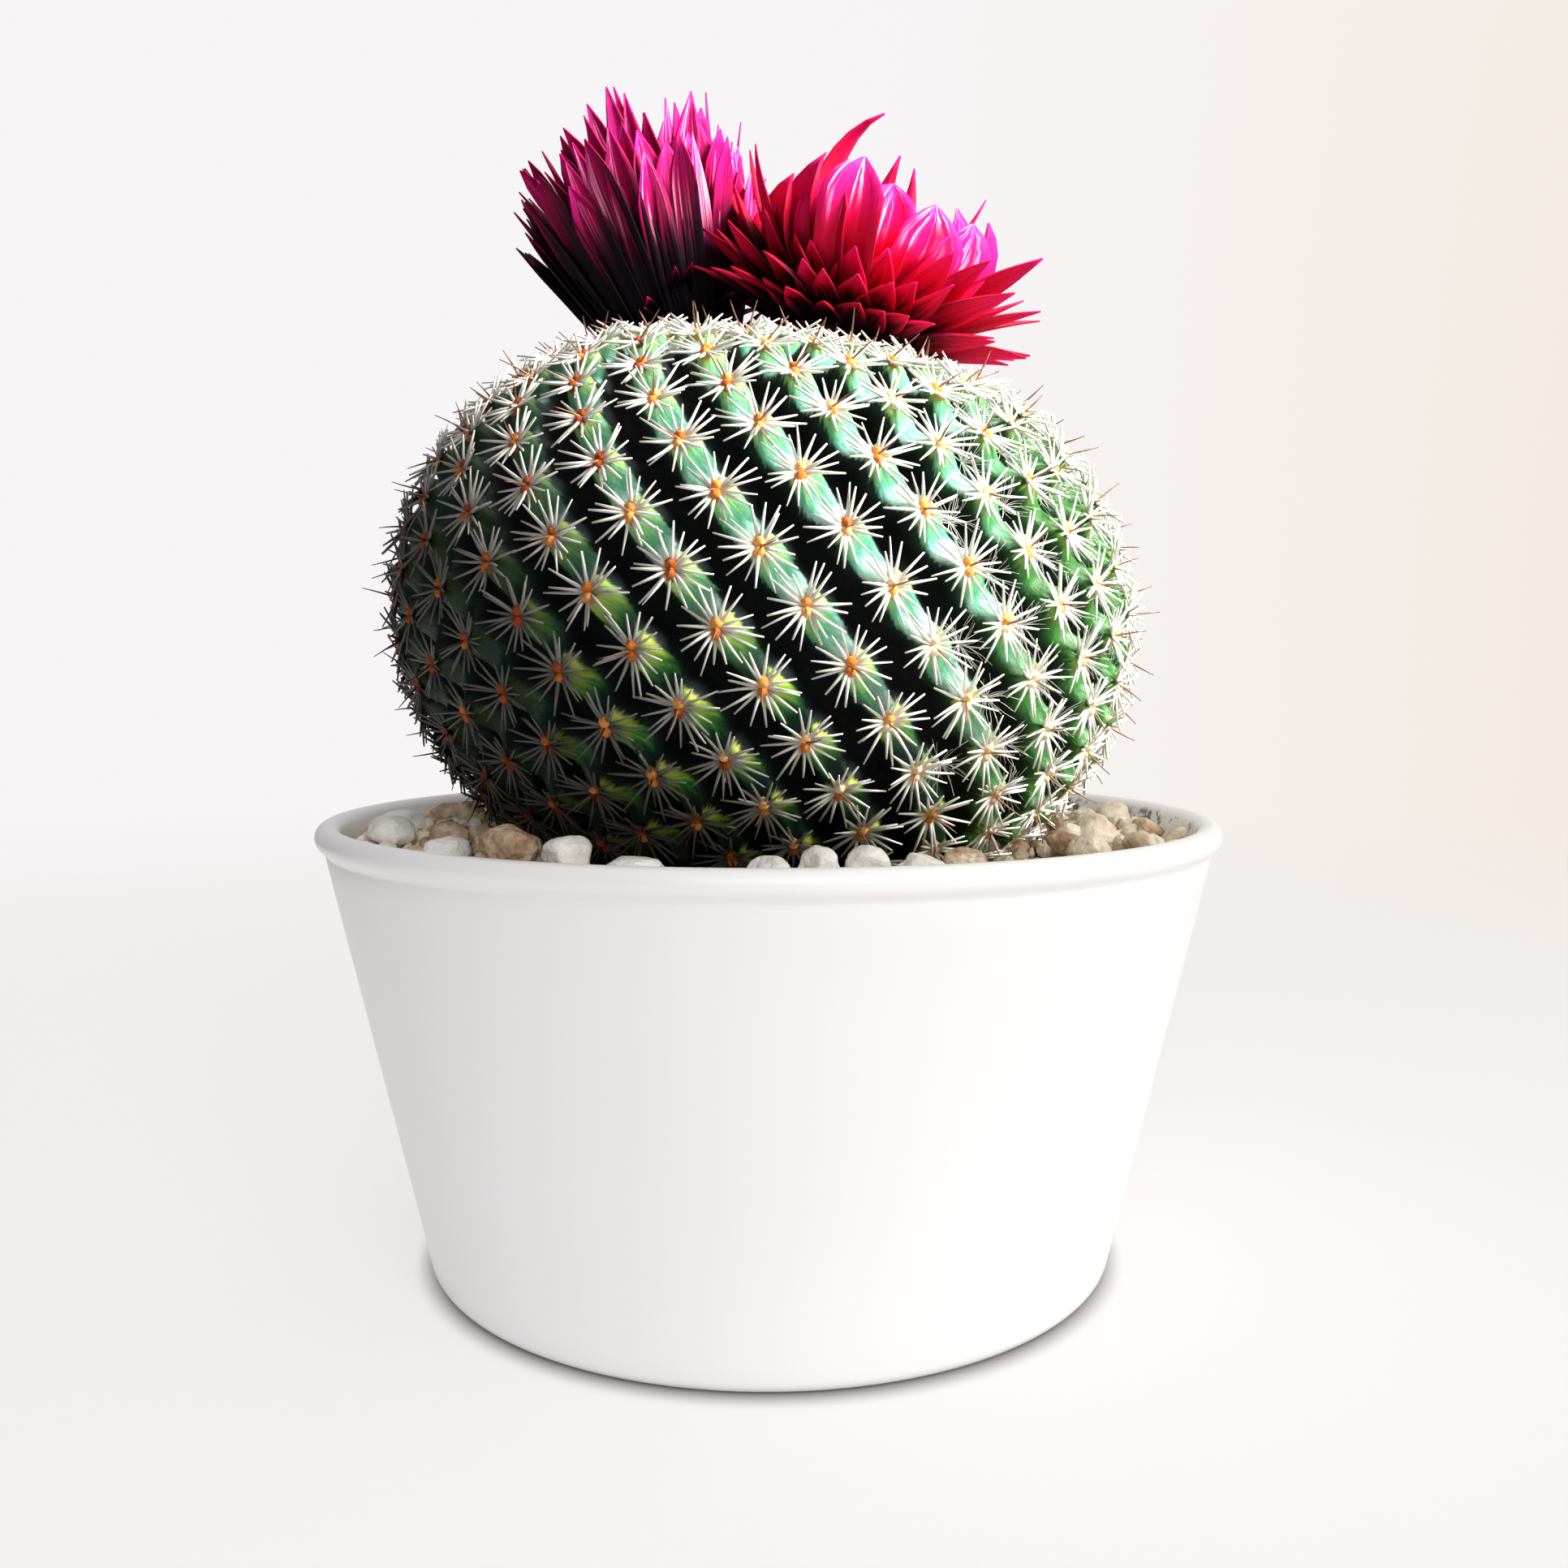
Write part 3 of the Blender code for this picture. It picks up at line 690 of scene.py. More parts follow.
def bristle_tree():
    """Geometry nodes: a fan of tapered, slightly bent bristles on every point."""
    tree, given = growth_tree("bristle_fans", (
        ("Count", "Int"), ("Shortest", "Float"), ("Longest", "Float"), ("Lowest Rise", "Float"),
        ("Highest Rise", "Float"), ("Root Radius", "Float"), ("Tip Radius", "Float"),
        ("Bend", "Float"), ("Scatter", "Float"), ("Sides", "Int"), ("Rings", "Int"),
        ("Seed", "Int"), ("Finish", "Material")))
    copies = add(tree, "GeometryNodeDuplicateElements", {
        "Geometry": given["Geometry"], "Amount": given["Count"]}, domain="POINT").outputs
    chance = {}
    for k, (name, low, high) in enumerate((
        ("turn", -1.0, 1.0), ("rise", given["Lowest Rise"], given["Highest Rise"]),
        ("length", given["Shortest"], given["Longest"]), ("own", 0.0, 1.0), ("roll", 0.0, 6.283),
    )):
        chance[name] = drawn(tree, given["Seed"], k * 71, low, high)
    share = calc(tree, "DIVIDE", copies["Duplicate Index"], given["Count"])
    turn = calc(tree, "MULTIPLY", share, 2 * math.pi)
    loose = calc(tree, "MULTIPLY_ADD", chance["turn"], given["Scatter"], turn)
    out, down = [
        add(tree, "GeometryNodeInputNamedAttribute", {"Name": name},
            data_type="FLOAT_VECTOR").outputs[0] for name in ("out", "down")]
    flat = between(tree, loose, down, vector(tree, "CROSS_PRODUCT", out, down))
    aim = between(tree, chance["rise"], flat, out)
    aligned = add(tree, "FunctionNodeAlignRotationToVector", {"Vector": aim}, axis="Z")
    rolled = add(tree, "FunctionNodeAxisAngleToRotation", {
        "Axis": (0.0, 0.0, 1.0), "Angle": chance["roll"]})
    facing = add(tree, "FunctionNodeRotateRotation", {
        "Rotation": aligned.outputs[0], "Rotate By": rolled.outputs[0]}, rotation_space="LOCAL")
    cone = add(tree, "GeometryNodeMeshCone", {
        "Vertices": given["Sides"], "Side Segments": given["Rings"],
        "Radius Top": given["Tip Radius"], "Radius Bottom": given["Root Radius"], "Depth": 1.0})
    here = add(tree, "GeometryNodeInputPosition").outputs[0]
    height = add(tree, "ShaderNodeSeparateXYZ", {"Vector": here}).outputs["Z"]
    bent = calc(tree, "MULTIPLY", calc(tree, "MULTIPLY", height, height), given["Bend"])
    aside = add(tree, "ShaderNodeCombineXYZ", {"X": bent}).outputs[0]
    curved = add(tree, "GeometryNodeSetPosition", {
        "Geometry": cone.outputs["Mesh"], "Offset": aside}).outputs[0]
    soft = add(tree, "GeometryNodeSetShadeSmooth", {
        0: marked(tree, curved, "along", height, "POINT")}).outputs[0]
    slim = add(tree, "ShaderNodeCombineXYZ", {"X": 1.0, "Y": 1.0, "Z": chance["length"]})
    fans = strewn(tree, copies["Geometry"], soft, facing.outputs[0], slim.outputs[0],
                  chance["own"])
    return painted(tree, fans, given["Finish"])


def grown(name, tree, points, vectors, **inputs):
    """Runs a node tree on loose points in millimetres and returns the result as a plain mesh."""
    seeds = mesh_object(name + "_seeds", points, [], inputs["Finish"], smooth=False)
    for key, values in vectors.items():
        layer = seeds.data.attributes.new(key, "FLOAT_VECTOR", "POINT")
        layer.data.foreach_set("vector", np.asarray(values, dtype=np.float32).ravel())
    modifier = seeds.modifiers.new("growth", "NODES")
    modifier.node_group = tree
    for item in tree.interface.items_tree:
        if item.in_out == "INPUT" and item.name.replace(" ", "_") in inputs:
            modifier[item.identifier] = inputs[item.name.replace(" ", "_")]
    seeds.update_tag()
    ready = seeds.evaluated_get(bpy.context.evaluated_depsgraph_get())
    mesh = bpy.data.meshes.new_from_object(ready)
    mesh.name = name
    made = bpy.data.objects.new(name, mesh)
    bpy.context.collection.objects.link(made)
    bpy.data.objects.remove(seeds)
    return made


def make_spines(areole_set):
    """White radial spines, brown central ones, and wool in the furrows."""
    places, normals, down, _ = areole_set
    seeds, out, way = in_world(places - normals * 0.1, (normals, down))
    tree = bristle_tree()
    vectors = {"out": out, "down": way}
    white = bristle_finish("dry_white_spine", "#F4E2B8", "#F8F5EE", "#EFE7DA", 0.45)
    brown = bristle_finish("brown_tipped_spine", "#D9A869", "#8A5C3E", "#2A120C", 0.45)
    radial = grown("radial_spines", tree, seeds, vectors, Count=18, Shortest=3.1e-3,
                   Longest=4.3e-3, Lowest_Rise=0.10, Highest_Rise=0.46, Root_Radius=2.3e-4,
                   Tip_Radius=8e-5, Bend=-2.2e-4, Scatter=0.13, Sides=4, Rings=2, Seed=3,
                   Finish=white)
    central = grown("central_spines", tree, seeds + out * 0.3, vectors, Count=1, Shortest=2.2e-3,
                    Longest=3.6e-3, Lowest_Rise=0.7, Highest_Rise=1.35, Root_Radius=1.3e-4,
                    Tip_Radius=4e-5, Bend=3e-4, Scatter=2.0, Sides=5, Rings=3, Seed=11,
                    Finish=brown)
    wool = bristle_finish("axil_wool", "#F4F1EA", "#F8F7F2", "#F4F2EE", 0.8)
    # Wool shows in the furrows of the upper and right-hand side.
    axils = seeds + way * 2.2 + np.cross(out, way) * 2.7 - out * 1.6
    keep = (axils[:, 2] > 97) | ((axils[:, 0] > 15) & (axils[:, 2] > 54))
    fleece = grown("axil_fleece", tree, axils[keep], {k: v[keep] for k, v in vectors.items()},
                   Count=34, Shortest=1.4e-3, Longest=3.4e-3, Lowest_Rise=0.0, Highest_Rise=0.75,
                   Root_Radius=3.0e-5, Tip_Radius=1.8e-5, Bend=1.2e-3, Scatter=1.5, Sides=3,
                   Rings=3, Seed=29, Finish=wool)
    for piece in (radial, central, fleece):
        place(piece, "cactus_skin")


def make_areoles(material, areole_set):
    """Two felted lobes on each tubercle's tip, one above the other."""
    places, normals, _, _ = areole_set
    seeds, out = in_world(places, (normals,))
    up = unit(np.array([0, 0, 1.0]) - out * out[:, 2:3])
    rings, steps = 4, 8
    points, faces, own = [], [], []
    rng = np.random.default_rng(5)
    for k in range(len(seeds)):
        for lobe in (-1, 1):
            centre = seeds[k] + up[k] * lobe * (0.42 + 0.06 * rng.random()) - out[k] * 0.05
            wide = 0.50 + 0.10 * rng.random()
            across = np.cross(out[k], up[k])
            start = len(points)
            points.append(centre + out[k] * (0.62 + 0.1 * rng.random()))
            for i in range(1, rings + 1):
                lean = i / rings * math.pi * 0.5
                for j in range(steps):
                    turn = 2 * math.pi * j / steps
                    reach = wide * math.sin(lean) * (1 + 0.12 * rng.random())
                    points.append(
                        centre + out[k] * 0.62 * math.cos(lean) - out[k] * 0.25 * (i == rings)
                        + across * reach * math.cos(turn) + up[k] * reach * 1.05 * math.sin(turn))
            points.append(centre - out[k] * 0.4)
            last = len(points) - 1
            tone = rng.random() * 0.5
            own.extend([tone] * (len(points) - start))
            for j in range(steps):
                n = (j + 1) % steps
                faces.append((start, start + 1 + j, start + 1 + n))
                for i in range(rings - 1):
                    a, b = start + 1 + i * steps, start + 1 + (i + 1) * steps
                    faces.append((a + j, b + j, b + n, a + n))
                end = start + 1 + (rings - 1) * steps
                faces.append((end + n, end + j, last))
    pads = mesh_object("areole_pads", points, faces, material)
    give(pads, "own", own)
    place(pads, "cactus_skin")


# Flowers -----------------------------------------------------------------------------------------

class Head:
    """A flower head's place, and the random numbers of its bracts."""

    def __init__(self, base, lean_side, lean_front, seed):
        self.matrix = (
            Matrix.Translation(base)
            @ Matrix.Rotation(math.radians(lean_side), 4, "Y")
            @ Matrix.Rotation(math.radians(lean_front), 4, "X")
        )
        self.rng = np.random.default_rng(seed)


def bract_grid(rng, turn, radius, height, length, width, lean, curl, cup, ragged, point, sway=0.0,
               bend=1.2):
    """One bract as a grid of points: rows run from root to tip, columns across.

    lean and curl are the angles from upright at root and tip, cup is how hollow it is, point is
    where it starts to narrow, ragged twists and bends it at random, sway draws it aside, and bend
    is how late it curls."""
    rows, columns = 13, 7
    along = np.linspace(0, 1, rows)
    angle = np.radians(lean + (curl - lean) * along ** bend)
    angle = angle + math.radians(8) * ragged * rng.normal() * along ** 2
    step = length / (rows - 1)
    out = radius + np.concatenate([[0], np.cumsum(np.sin(angle[:-1]) * step)])
    up = height + np.concatenate([[0], np.cumsum(np.cos(angle[:-1]) * step)])
    shape = 0.62 + 0.38 * np.minimum(along / 0.4, 1) ** 0.8
    narrowing = np.clip((along - point) / (1 - point), 0, 1)
    shape = shape * np.maximum(1 - narrowing ** 1.5, 0.035)
    half = 0.5 * width * shape
    twist = math.radians(20) * ragged * rng.normal() * along ** 1.5 + math.radians(9)
    aside = (0.07 * length * ragged * rng.normal() + sway) * along ** 2
    grid = np.zeros((rows, columns, 3))
    for j, share in enumerate(np.linspace(-1, 1, columns)):
        across = half * share * np.cos(twist) + aside
        rise = -cup * half * (1 - share ** 2) + half * share * np.sin(twist)
        rise = rise + 0.08 * half * math.sin(9 * share + 6 * rng.random())
        radial = out + rise * np.cos(angle)
        vertical = up - rise * np.sin(angle)
        grid[:, j, 0] = radial * math.cos(turn) - across * math.sin(turn)
        grid[:, j, 1] = radial * math.sin(turn) + across * math.cos(turn)
        grid[:, j, 2] = vertical
    return grid


def facing_light(grid, matrix):
    """How far each point of a bract faces the key light, from -1 to 1, by the side turned outwards;
    it drives the bracts' painted light and shade.
    """
    along = np.gradient(grid, axis=0)
    across = np.gradient(grid, axis=1)
    normals = unit(np.cross(across, along))
    outwards = grid * np.array([1.0, 1.0, 0.0])
    if np.sum(normals * outwards) < 0:
        normals = -normals
    return (normals @ np.array(matrix.to_3x3()).T) @ KEY_LIGHT_WAY


def make_bracts(name, head, grids, material, node):
    """Joins bracts into one piece, each a thin closed sheet with its own tone and blade map."""
    points, faces, own, sun, blade = [], [], [], [], []
    for grid in grids:
        rows, columns, _ = grid.shape
        tone = head.rng.random()
        start = len(points)
        points.extend(grid.reshape(-1, 3))
        own.extend([tone] * rows * columns)
        sun.extend(facing_light(grid, head.matrix).ravel())
        for i in range(rows):
            for j in range(columns):
                blade.append((j / (columns - 1), i / (rows - 1)))
        for i in range(rows - 1):
            for j in range(columns - 1):
                a = start + i * columns + j
                faces.append((a, a + 1, a + columns + 1, a + columns))
    piece = mesh_object(name, points, faces, material, matrix=head.matrix)
    give(piece, "own", own)
    give(piece, "sun", sun)
    layer = piece.data.uv_layers.new(name="blade")
    corners = np.zeros(len(piece.data.loops), dtype=np.int32)
    piece.data.loops.foreach_get("vertex_index", corners)
    layer.data.foreach_set("uv", np.array(blade, dtype=np.float32)[corners].ravel())
    solid = piece.modifiers.new("thickness", "SOLIDIFY")
    solid.thickness = BRACT_THICKNESS * MM
    solid.offset = 0.0
    place(piece, "bract_magenta", node)


def make_left_flower():
    """Half closed, seen from its side: long pointed bracts laid close into a brush."""
    head = Head(Vector((-9.6, 0.6, 101.8)), -17, -2, 7)
    dark = dried_bract("dried_bract_dark", [
        (0.0, "#050109"), (0.46, "#140314"), (0.60, "#4C052C"), (0.72, "#A20848"),
        (0.86, "#D00C6C"), (1.0, "#E41C90")], 0.26, (0.20, 0.55), 0.48, 0.50)
    # Bracts, root radius and height, length, width, lean at root and at tip, from the outside in.
    whorls = [
        (46, 6.2, 0.2, 22.4, 2.9, 24, 28), (42, 5.8, 0.9, 24.2, 2.9, 19, 24),
        (34, 5.2, 1.5, 25.0, 2.8, 15, 20), (26, 4.4, 2.0, 25.2, 2.8, 11, 14),
        (18, 3.2, 2.4, 25.2, 2.8, 6, 9),
    ]
    for number, (count, radius, height, length, width, lean, curl) in enumerate(whorls, start=1):
        grids = []
        for k in range(count):
            turn = 2 * math.pi * (k + 0.5 * (number % 2) + 0.3 * head.rng.normal()) / count
            less = (1 - 0.13 * (0.5 - 0.5 * math.cos(turn)) ** 3
                    - 0.20 * (0.5 + 0.5 * math.cos(turn)) ** 3)
            grids.append(bract_grid(
                head.rng, turn, radius + 0.3 * (k % 2), height,
                length * less * head.rng.uniform(0.86, 1.04), width * head.rng.uniform(0.7, 1.3),
                lean, curl, 0.30, 0.8, head.rng.uniform(0.62, 0.86)))
        if number == 4:
            # Long narrow ones on the side of the other head.
            for turn, size, lean_out in ((-14, 25.0, 17), (12, 23.5, 25), (34, 24.5, 21)):
                grids.append(bract_grid(
                    head.rng, math.radians(turn), radius, height, size, 1.7, lean_out, lean_out - 4,
                    0.3, 0.5, 0.4))
        if number == 1:
            for k in range(24):
                turn = 2 * math.pi * (k + head.rng.random()) / 24
                grids.append(bract_grid(
                    head.rng, turn, 7.0, head.rng.uniform(0.6, 4.2), head.rng.uniform(3.0, 5.6), 1.4,
                    56, head.rng.uniform(60, 105), 0.3, 1.2, 0.3))
        make_bracts(f"left_bracts_{number}", head, grids, dark, f"flower_left_whorl_{number}")
    return head


def make_right_flower():
    """Open bowl: spreading pointed bracts outside, broad ones that curl inwards inside."""
    head = Head(Vector((7.8, -6.5, 101.8)), 16, 3, 19)
    outer = dried_bract("dried_bract_crimson", [
        (0.0, "#16020F"), (0.18, "#54041E"), (0.36, "#BC0830"), (0.60, "#E00C46"),
        (0.84, "#EE1470"), (1.0, "#DC1070")], 0.38, (0.50, 0.80), 0.40, 0.74)
    inner = dried_bract("dried_bract_magenta", [
        (0.0, "#7A0424"), (0.20, "#C00630"), (0.50, "#DE0A44"), (0.76, "#F01474"),
        (1.0, "#F01C80")], 0.40, (0.26, 0.56), 0.28, 0.70)
    # Bracts, root radius and height, length, width, lean at root and tip, cup, where it narrows,
    # how late it curls and how much shorter it is at the front.
    whorls = [
        (26, 5.8, -0.2, 15.6, 3.4, 68, 84, 0.4, 0.45, 1.2, 0.60),
        (24, 5.6, 0.5, 18.6, 4.0, 58, 62, 0.4, 0.45, 1.2, 0.60),
        (18, 5.3, 1.1, 20.2, 4.6, 50, 36, 0.5, 0.50, 1.2, 0.60),
        (12, 4.8, 1.6, 16.8, 7.2, 50, -50, 0.40, 0.74, 2.4, 0.0),
        (11, 4.2, 2.1, 16.4, 7.2, 44, -66, 0.45, 0.76, 2.2, 0.0),
        (8, 3.2, 2.6, 14.0, 6.6, 34, -80, 0.45, 0.76, 2.0, 0.0),
    ]
    front = math.radians(-100)
    for number, whorl in enumerate(whorls, start=1):
        count, radius, height, length, width, lean, curl, cup, point, bend, shorter = whorl
        finish = outer if number < 4 else inner
        grids = []
        for k in range(count):
            turn = 2 * math.pi * (k + 0.5 * (number % 2) + 0.2 * head.rng.normal()) / count
            less = 1 - shorter * (0.5 + 0.5 * math.cos(turn - front)) ** 2
            grids.append(bract_grid(
                head.rng, turn, radius + 0.35 * (k % 2), height,
                length * less * head.rng.uniform(0.86, 1.06), width * head.rng.uniform(0.85, 1.15),
                lean, curl, cup, 0.9, point, bend=bend))
        if number == 4:
            # Six narrower bracts stand up at the back and the sides.
            for turn, size, width, lean_out, tip_lean, sway in (
                    (146, 25.0, 4.6, 16, -84, 0.0), (62, 20.5, 3.6, 16, -12, 1.5),
                    (96, 20.5, 3.4, 10, -20, -1.0), (30, 20.0, 2.8, 26, 10, 0.0),
                    (205, 17.0, 3.2, 44, 24, 0.5), (172, 18.0, 3.2, 38, 20, 1.5)):
                grids.append(bract_grid(
                    head.rng, math.radians(turn), 5.0, 1.5, size, width, lean_out, tip_lean,
                    0.4, 0.3, 0.45, sway, 2.6))
        make_bracts(f"right_bracts_{number}", head, grids, finish, f"flower_right_whorl_{number}")
    return head


def make_hearts(left, right):
    """The woody base under each head and the dome of dry florets inside it."""
    wood, straw = dry_wood(), dry_florets()
    for side, head, wide, disc, dome in (
            ("left", left, 6.0, 3.0, 5.0), ("right", right, 5.8, 4.2, 4.0)):
        cup = [(0, -2.6), (wide * 0.5, -2.4), (wide * 0.85, -1.2), (wide, 0.8), (wide * 0.92, 2.6)]
        cup += [(wide * 0.6, 3.0), (0, 3.0)]
        base = mesh_object(f"{side}_flower_base", *lathe(cup, 40), wood, matrix=head.matrix)
        place(base, "flower_base", f"flower_{side}_base")
        top = [(0, 2.9), (disc, 2.9)]
        top += [(disc * math.cos(a), 2.9 + dome * math.sin(a)) for a in np.linspace(0.2, 1.4, 7)]
        top += [(0, 2.9 + dome)]
        florets = mesh_object(f"{side}_florets", *lathe(top, 40), straw, matrix=head.matrix)
        place(florets, "flower_disc", f"flower_{side}_disc")


# Soil and stones ---------------------------------------------------------------------------------

def make_soil():
    """Soil that fills the pot, uneven and heaped in a ring round the plant."""
    low = POT_FLOOR + 0.3
    profile = [(0, low), (wall_radius(low) - WALL - 3.4, low)]
    profile += [(wall_radius(low + 3.2) - WALL - 0.3, low + 3.2)]
    profile += [(wall_radius(SOIL_TOP) - WALL - 0.3, SOIL_TOP)]
    profile += [(r, SOIL_TOP) for r in np.linspace(44.5, 18, 48)] + [(0, SOIL_TOP)]
    points, faces = lathe(profile, 144)
    uneven = []
    for x, y, z in points:
        if z >= SOIL_TOP - 0.01 and math.hypot(x, y) < 44.8:
            spot = Vector((x, y, z))
            z += 0.7 * noise.noise(spot * 0.22) + 0.45 * noise.noise(spot * 0.8)
            z += 1.6 * max(0.0, 1 - abs(math.hypot(x, y) - 31) / 6)
        uneven.append((x, y, z))
    soil = mesh_object("potting_soil", uneven, faces, damp_soil())
    place(soil, "soil", "soil")


def stone_mesh(size, seed, levels, facets, nearest_cut):
    """Points and faces of one broken or worn stone about its own centre, in millimetres."""
    ball = bmesh.new()
    bmesh.ops.create_icosphere(ball, subdivisions=levels, radius=0.5)
    rng = np.random.default_rng(seed)
    planes = unit(rng.normal(size=(facets, 3)))
    cuts = rng.uniform(nearest_cut, 0.46, facets)
    for vert in ball.verts:
        spot = np.array(vert.co)
        for plane, cut in zip(planes, cuts):
            over = spot @ plane - cut
            if over > 0:
                spot = spot - plane * over * 0.92
        rough = 1 + 0.10 * noise.noise(Vector(spot) * 4 + Vector((seed, 0, 0)))
        rough += 0.03 * noise.noise(Vector(spot) * 14 + Vector((0, seed, 0)))
        vert.co = Vector(spot) * rough
    points = np.array([v.co for v in ball.verts]) * np.array(size)
    faces = [[v.index for v in f.verts] for f in ball.faces]
    ball.free()
    return points, faces


def make_stones(finishes):
    """Every loose stone of the part, worked up where the plain one lies."""
    names = [n for n in frame["nodes"] if n.startswith("stone_")]
    for seed, node in enumerate(sorted(names), start=1):
        low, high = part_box(node)
        size = [(b - a) / MM for a, b in zip(low, high)]
        centre = [(a + b) / 2 / MM for a, b in zip(low, high)]
        large = "large" in node
        points, faces = stone_mesh(size, seed, 4 if large else 3, 9 if large else 11,
                                   0.35 if large else 0.27)
        spread = (points.max(axis=0) - points.min(axis=0))
        points = points * np.array(size) / spread * 1.04 + np.array(centre)
        slot = next(p["material_slot"] for p in frame["record"]["subparts"] if p["node"] == node)
        look = finishes[slot]
        if not large and slot == "stone_white" and centre[0] > 0:
            look = finishes["cream_quartz"]
        elif not large and seed % 2:
            look = finishes["stone_tan"]
        stone = mesh_object(node.replace("stone", "pebble"), points, faces, look)
        place(stone, slot, node)


def crumb_tree():
    """Geometry nodes: crumbs of several sizes strewn over points, turned at random."""
    tree, given = growth_tree("strewn_crumbs", (
        ("Smallest", "Float"), ("Largest", "Float"), ("Roughness", "Float"), ("Seed", "Int"),
        ("Finish", "Material")))
    ball = add(tree, "GeometryNodeMeshIcoSphere", {"Radius": 0.5, "Subdivisions": 2})
    chance = {}
    for k, (name, kind, low, high) in enumerate((
        ("turn", "FLOAT_VECTOR", (0, 0, 0), (6.3, 6.3, 6.3)),
        ("shape", "FLOAT_VECTOR", (0.7, 0.7, 0.55), (1.1, 1.1, 0.9)),
        ("size", "FLOAT", given["Smallest"], given["Largest"]), ("own", "FLOAT", 0.0, 1.0),
    )):
        chance[name] = drawn(tree, given["Seed"], k * 37, low, high, kind)
    scaled = vector(tree, "SCALE", chance["shape"], chance["size"])
    crumbs = strewn(tree, given["Geometry"], ball.outputs["Mesh"], chance["turn"], scaled,
                    chance["own"])
    here = add(tree, "GeometryNodeInputPosition").outputs[0]
    lumps = add(tree, "ShaderNodeTexNoise", {"Vector": here, "Scale": 620.0, "Detail": 2.0})
    centred = vector(tree, "SUBTRACT", lumps.outputs["Color"], (0.5, 0.5, 0.5))
    rough = add(tree, "GeometryNodeSetPosition", {
        "Geometry": crumbs, "Offset": vector(tree, "SCALE", centred, given["Roughness"])})
    return painted(tree, rough.outputs[0], given["Finish"])


def make_crumbs(finishes):
    """Fine gravel over the whole ring between plant and pot."""
    tree = crumb_tree()
    rng = np.random.default_rng(23)
    batches = (
        ("pale_crumbs", 900, 1.5, 3.3, "cream_quartz"), ("tan_crumbs", 620, 1.3, 3.1, "stone_tan"))
    made = []
    for seed, (name, count, small, large, slot) in enumerate(batches):
        turn = rng.uniform(0, 2 * math.pi, count)
        radius = np.sqrt(rng.uniform(CRUMB_RING[0] ** 2, CRUMB_RING[1] ** 2, count))
        # Heaped against the plant, except at the front, and higher at the sides.
        from_plant = np.hypot(radius * np.cos(turn) - GLOBE_CENTRE.x,
                              radius * np.sin(turn) - GLOBE_CENTRE.y)
        front = np.clip(-np.sin(turn) - 0.35, 0, 0.4) / 0.4
        heap = 1.7 * np.exp(-((from_plant - 29) / 6) ** 2) * (1 - front) + 0.8 * np.cos(turn) ** 2
        height = BED_TOP - 0.6 - 1.4 * front + heap + rng.uniform(-0.5, 0.8, count)
        clear = from_plant > CRUMBS_CLEAR
        turn, radius, height = turn[clear], radius[clear], height[clear]
        points = np.stack([radius * np.cos(turn), radius * np.sin(turn), height], axis=1)
        piece = grown(name, tree, points, {}, Smallest=small * MM, Largest=large * MM,
                      Roughness=1.1 * MM, Seed=seed, Finish=finishes[slot])
        made.append(piece)
    place(made[0], "gravel", "gravel_bed")
    place(made[1], "gravel")


# Stage -------------------------------------------------------------------------------------------

def make_table():
    """A white table that fades into the white room."""
    material, tree, shader = new_material("white_table", Roughness=0.7)
    shader.inputs["Base Color"].default_value = linear("#B4B2B1")
    shader.inputs["Emission Color"].default_value = (1.0, 0.985, 0.98, 1.0)
    place_in = place_on(tree)
    reach = vector(tree, "LENGTH", place_in)
    # The table glows a little, as an overexposed one does, but not under the pot.
    tree.links.new(ranged(tree, reach, *GLOW_FROM_TO, 0.0, TABLE_GLOW),
                   shader.inputs["Emission Strength"])
    clear = add(tree, "ShaderNodeBsdfTransparent")
    blend = add(tree, "ShaderNodeMixShader", {
        0: ranged(tree, reach, *TABLE_FADE), 1: shader.outputs[0], 2: clear.outputs[0]})
    tree.links.new(blend.outputs[0], tree.nodes["Material Output"].inputs["Surface"])
    floor = mesh_object("table", *lathe([(0, -0.02), (400, -0.02), (1400, -0.02)], 64), material)
    floor.data.flip_normals()


def make_room():
    """A white room, a little warmer to the right."""
    world = bpy.data.worlds.new("white_room")
    bpy.context.scene.world = world
    world.use_nodes = True
    tree = world.node_tree
    back = tree.nodes["Background"].inputs
    way = add(tree, "ShaderNodeTexCoord").outputs["Generated"]
    axes = add(tree, "ShaderNodeSeparateXYZ", {"Vector": way}).outputs
    warm = ranged(tree, axes["X"], 0.0, 0.6)
    tree.links.new(mixed(tree, warm, linear("#F7F5F6"), linear("#F4EBE2")), back["Color"])
    # The room is brighter behind, above and to the right than to the left and in front.
    bright = vector(tree, "DOT_PRODUCT", way, (0.75, 0.5, 0.45))
    level = ranged(tree, bright, -0.45, 0.45, 0.10, 0.80)
    # What the room looks like is brighter than what it gives: the lamps give the rest.
    seen = add(tree, "ShaderNodeLightPath").outputs["Is Camera Ray"]
    strength = add(tree, "ShaderNodeMix", {0: seen, 2: level, 3: 1.0}, data_type="FLOAT")
    tree.links.new(strength.outputs[0], back["Strength"])


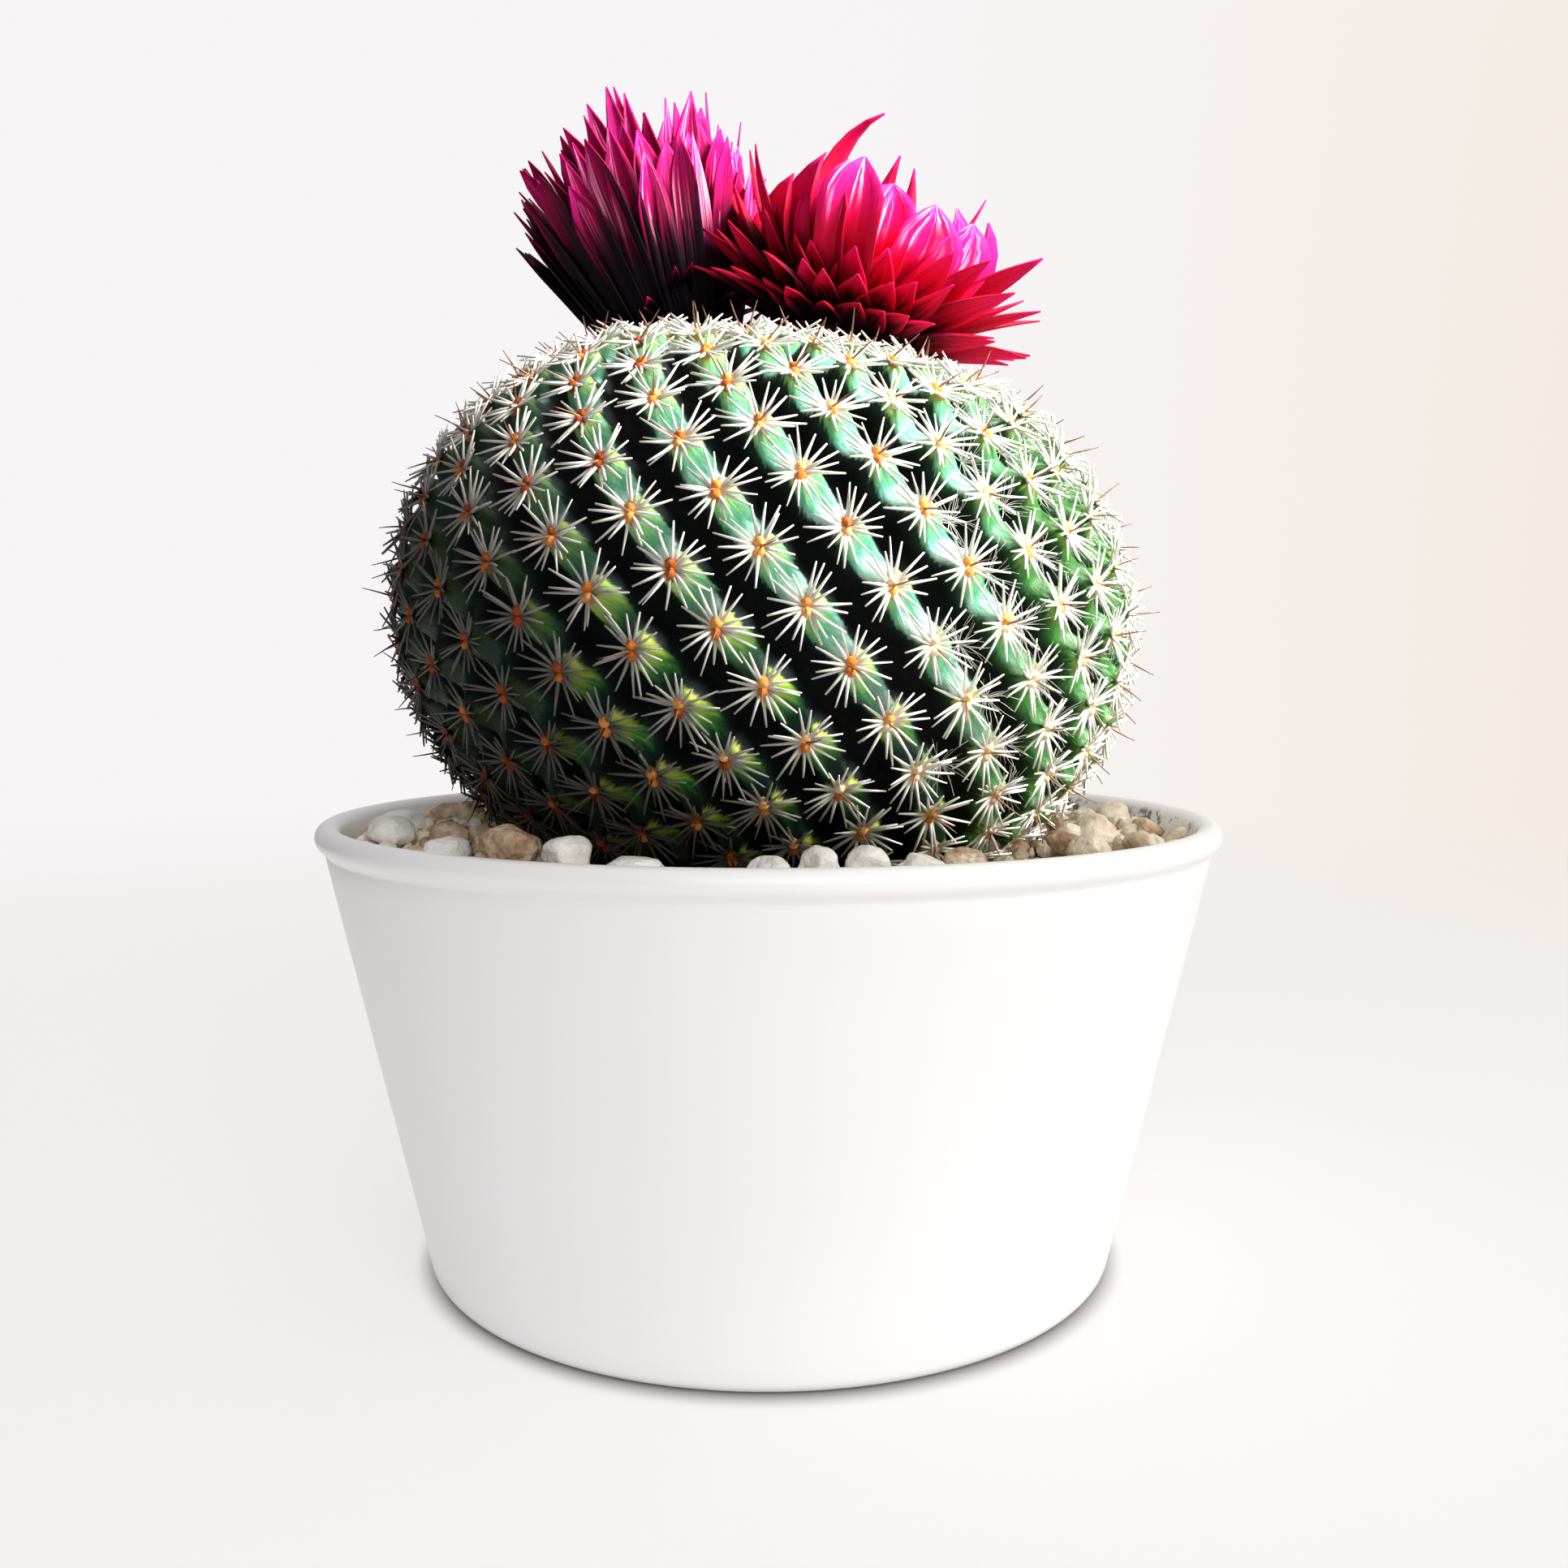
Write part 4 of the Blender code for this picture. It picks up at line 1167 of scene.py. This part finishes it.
def make_lamps():
    """Soft light, mostly from the upper right; each lamp lights only the pieces it is set for."""
    lit_sets = {
        "plant": PLANT_PIECES, "flowers": ("left", "right"),
        "pot": POT_PIECES, "pot_and_table": POT_PIECES + ("table",),
    }
    for name, at, size, power, warmth, lit in (
        ("plant_key", (0.42, -0.16, 0.42), 0.22, 11.5, (1.0, 0.98, 0.94), "plant"),
        ("flower_key", (0.30, -0.30, 0.38), 0.15, 3.6, (1.0, 0.97, 0.97), "flowers"),
        ("pot_fill", (0.10, -0.62, 0.38), 0.6, 2.6, (1.0, 1.0, 1.0), "pot_and_table"),
        ("pot_side", (0.60, -0.05, 0.35), 0.5, 1.9, (1.0, 0.99, 0.97), "pot"),
    ):
        data = bpy.data.lights.new(name, "AREA")
        data.size, data.energy, data.color = size, power, warmth
        lamp = bpy.data.objects.new(name, data)
        lamp.location = at
        lamp.rotation_euler = (LAMP_TARGET - Vector(at)).to_track_quat("-Z", "Y").to_euler()
        lamp.visible_camera = False
        bpy.context.collection.objects.link(lamp)
        lit_pieces = bpy.data.collections.new("lit_by_" + name)
        for piece in bpy.data.objects:
            if piece.name.startswith(lit_sets[lit]):
                lit_pieces.objects.link(piece)
        lamp.light_linking.receiver_collection = lit_pieces


def make_camera():
    """The camera in front, a little above the rim and tilted down."""
    data = bpy.data.cameras.new("camera")
    data.sensor_width = 36.0
    data.lens = CAMERA_LENS
    data.clip_start = 0.01
    camera = bpy.data.objects.new("camera", data)
    camera.location = CAMERA_AT
    camera.rotation_euler = (math.radians(90 - CAMERA_TILT), 0, 0)
    bpy.context.collection.objects.link(camera)
    bpy.context.scene.camera = camera
    bpy.context.scene.view_settings.view_transform = "Standard"


def main():
    """Builds every piece, then the stage."""
    areole_set = areoles()
    finishes = {
        "stone_white": rock("white_pebble", "#D6D0C6", "#F0EDE7", "#FBFAF7", 0.2, 0.6),
        "stone_tan": rock("porous_tan_pebble", "#7A5A44", "#B8987A", "#E2D0BA", 1.8, 0.85),
        "cream_quartz": rock("cream_quartz", "#B09670", "#DCCBAE", "#F6EFE0", 0.8, 0.4),
    }
    make_pot(glazed_stoneware())
    make_cactus(cactus_skin(), areole_set)
    make_areoles(areole_felt(), areole_set)
    make_spines(areole_set)
    make_hearts(make_left_flower(), make_right_flower())
    make_soil()
    make_stones(finishes)
    make_crumbs(finishes)
    make_table()
    make_room()
    make_lamps()
    make_camera()


main()
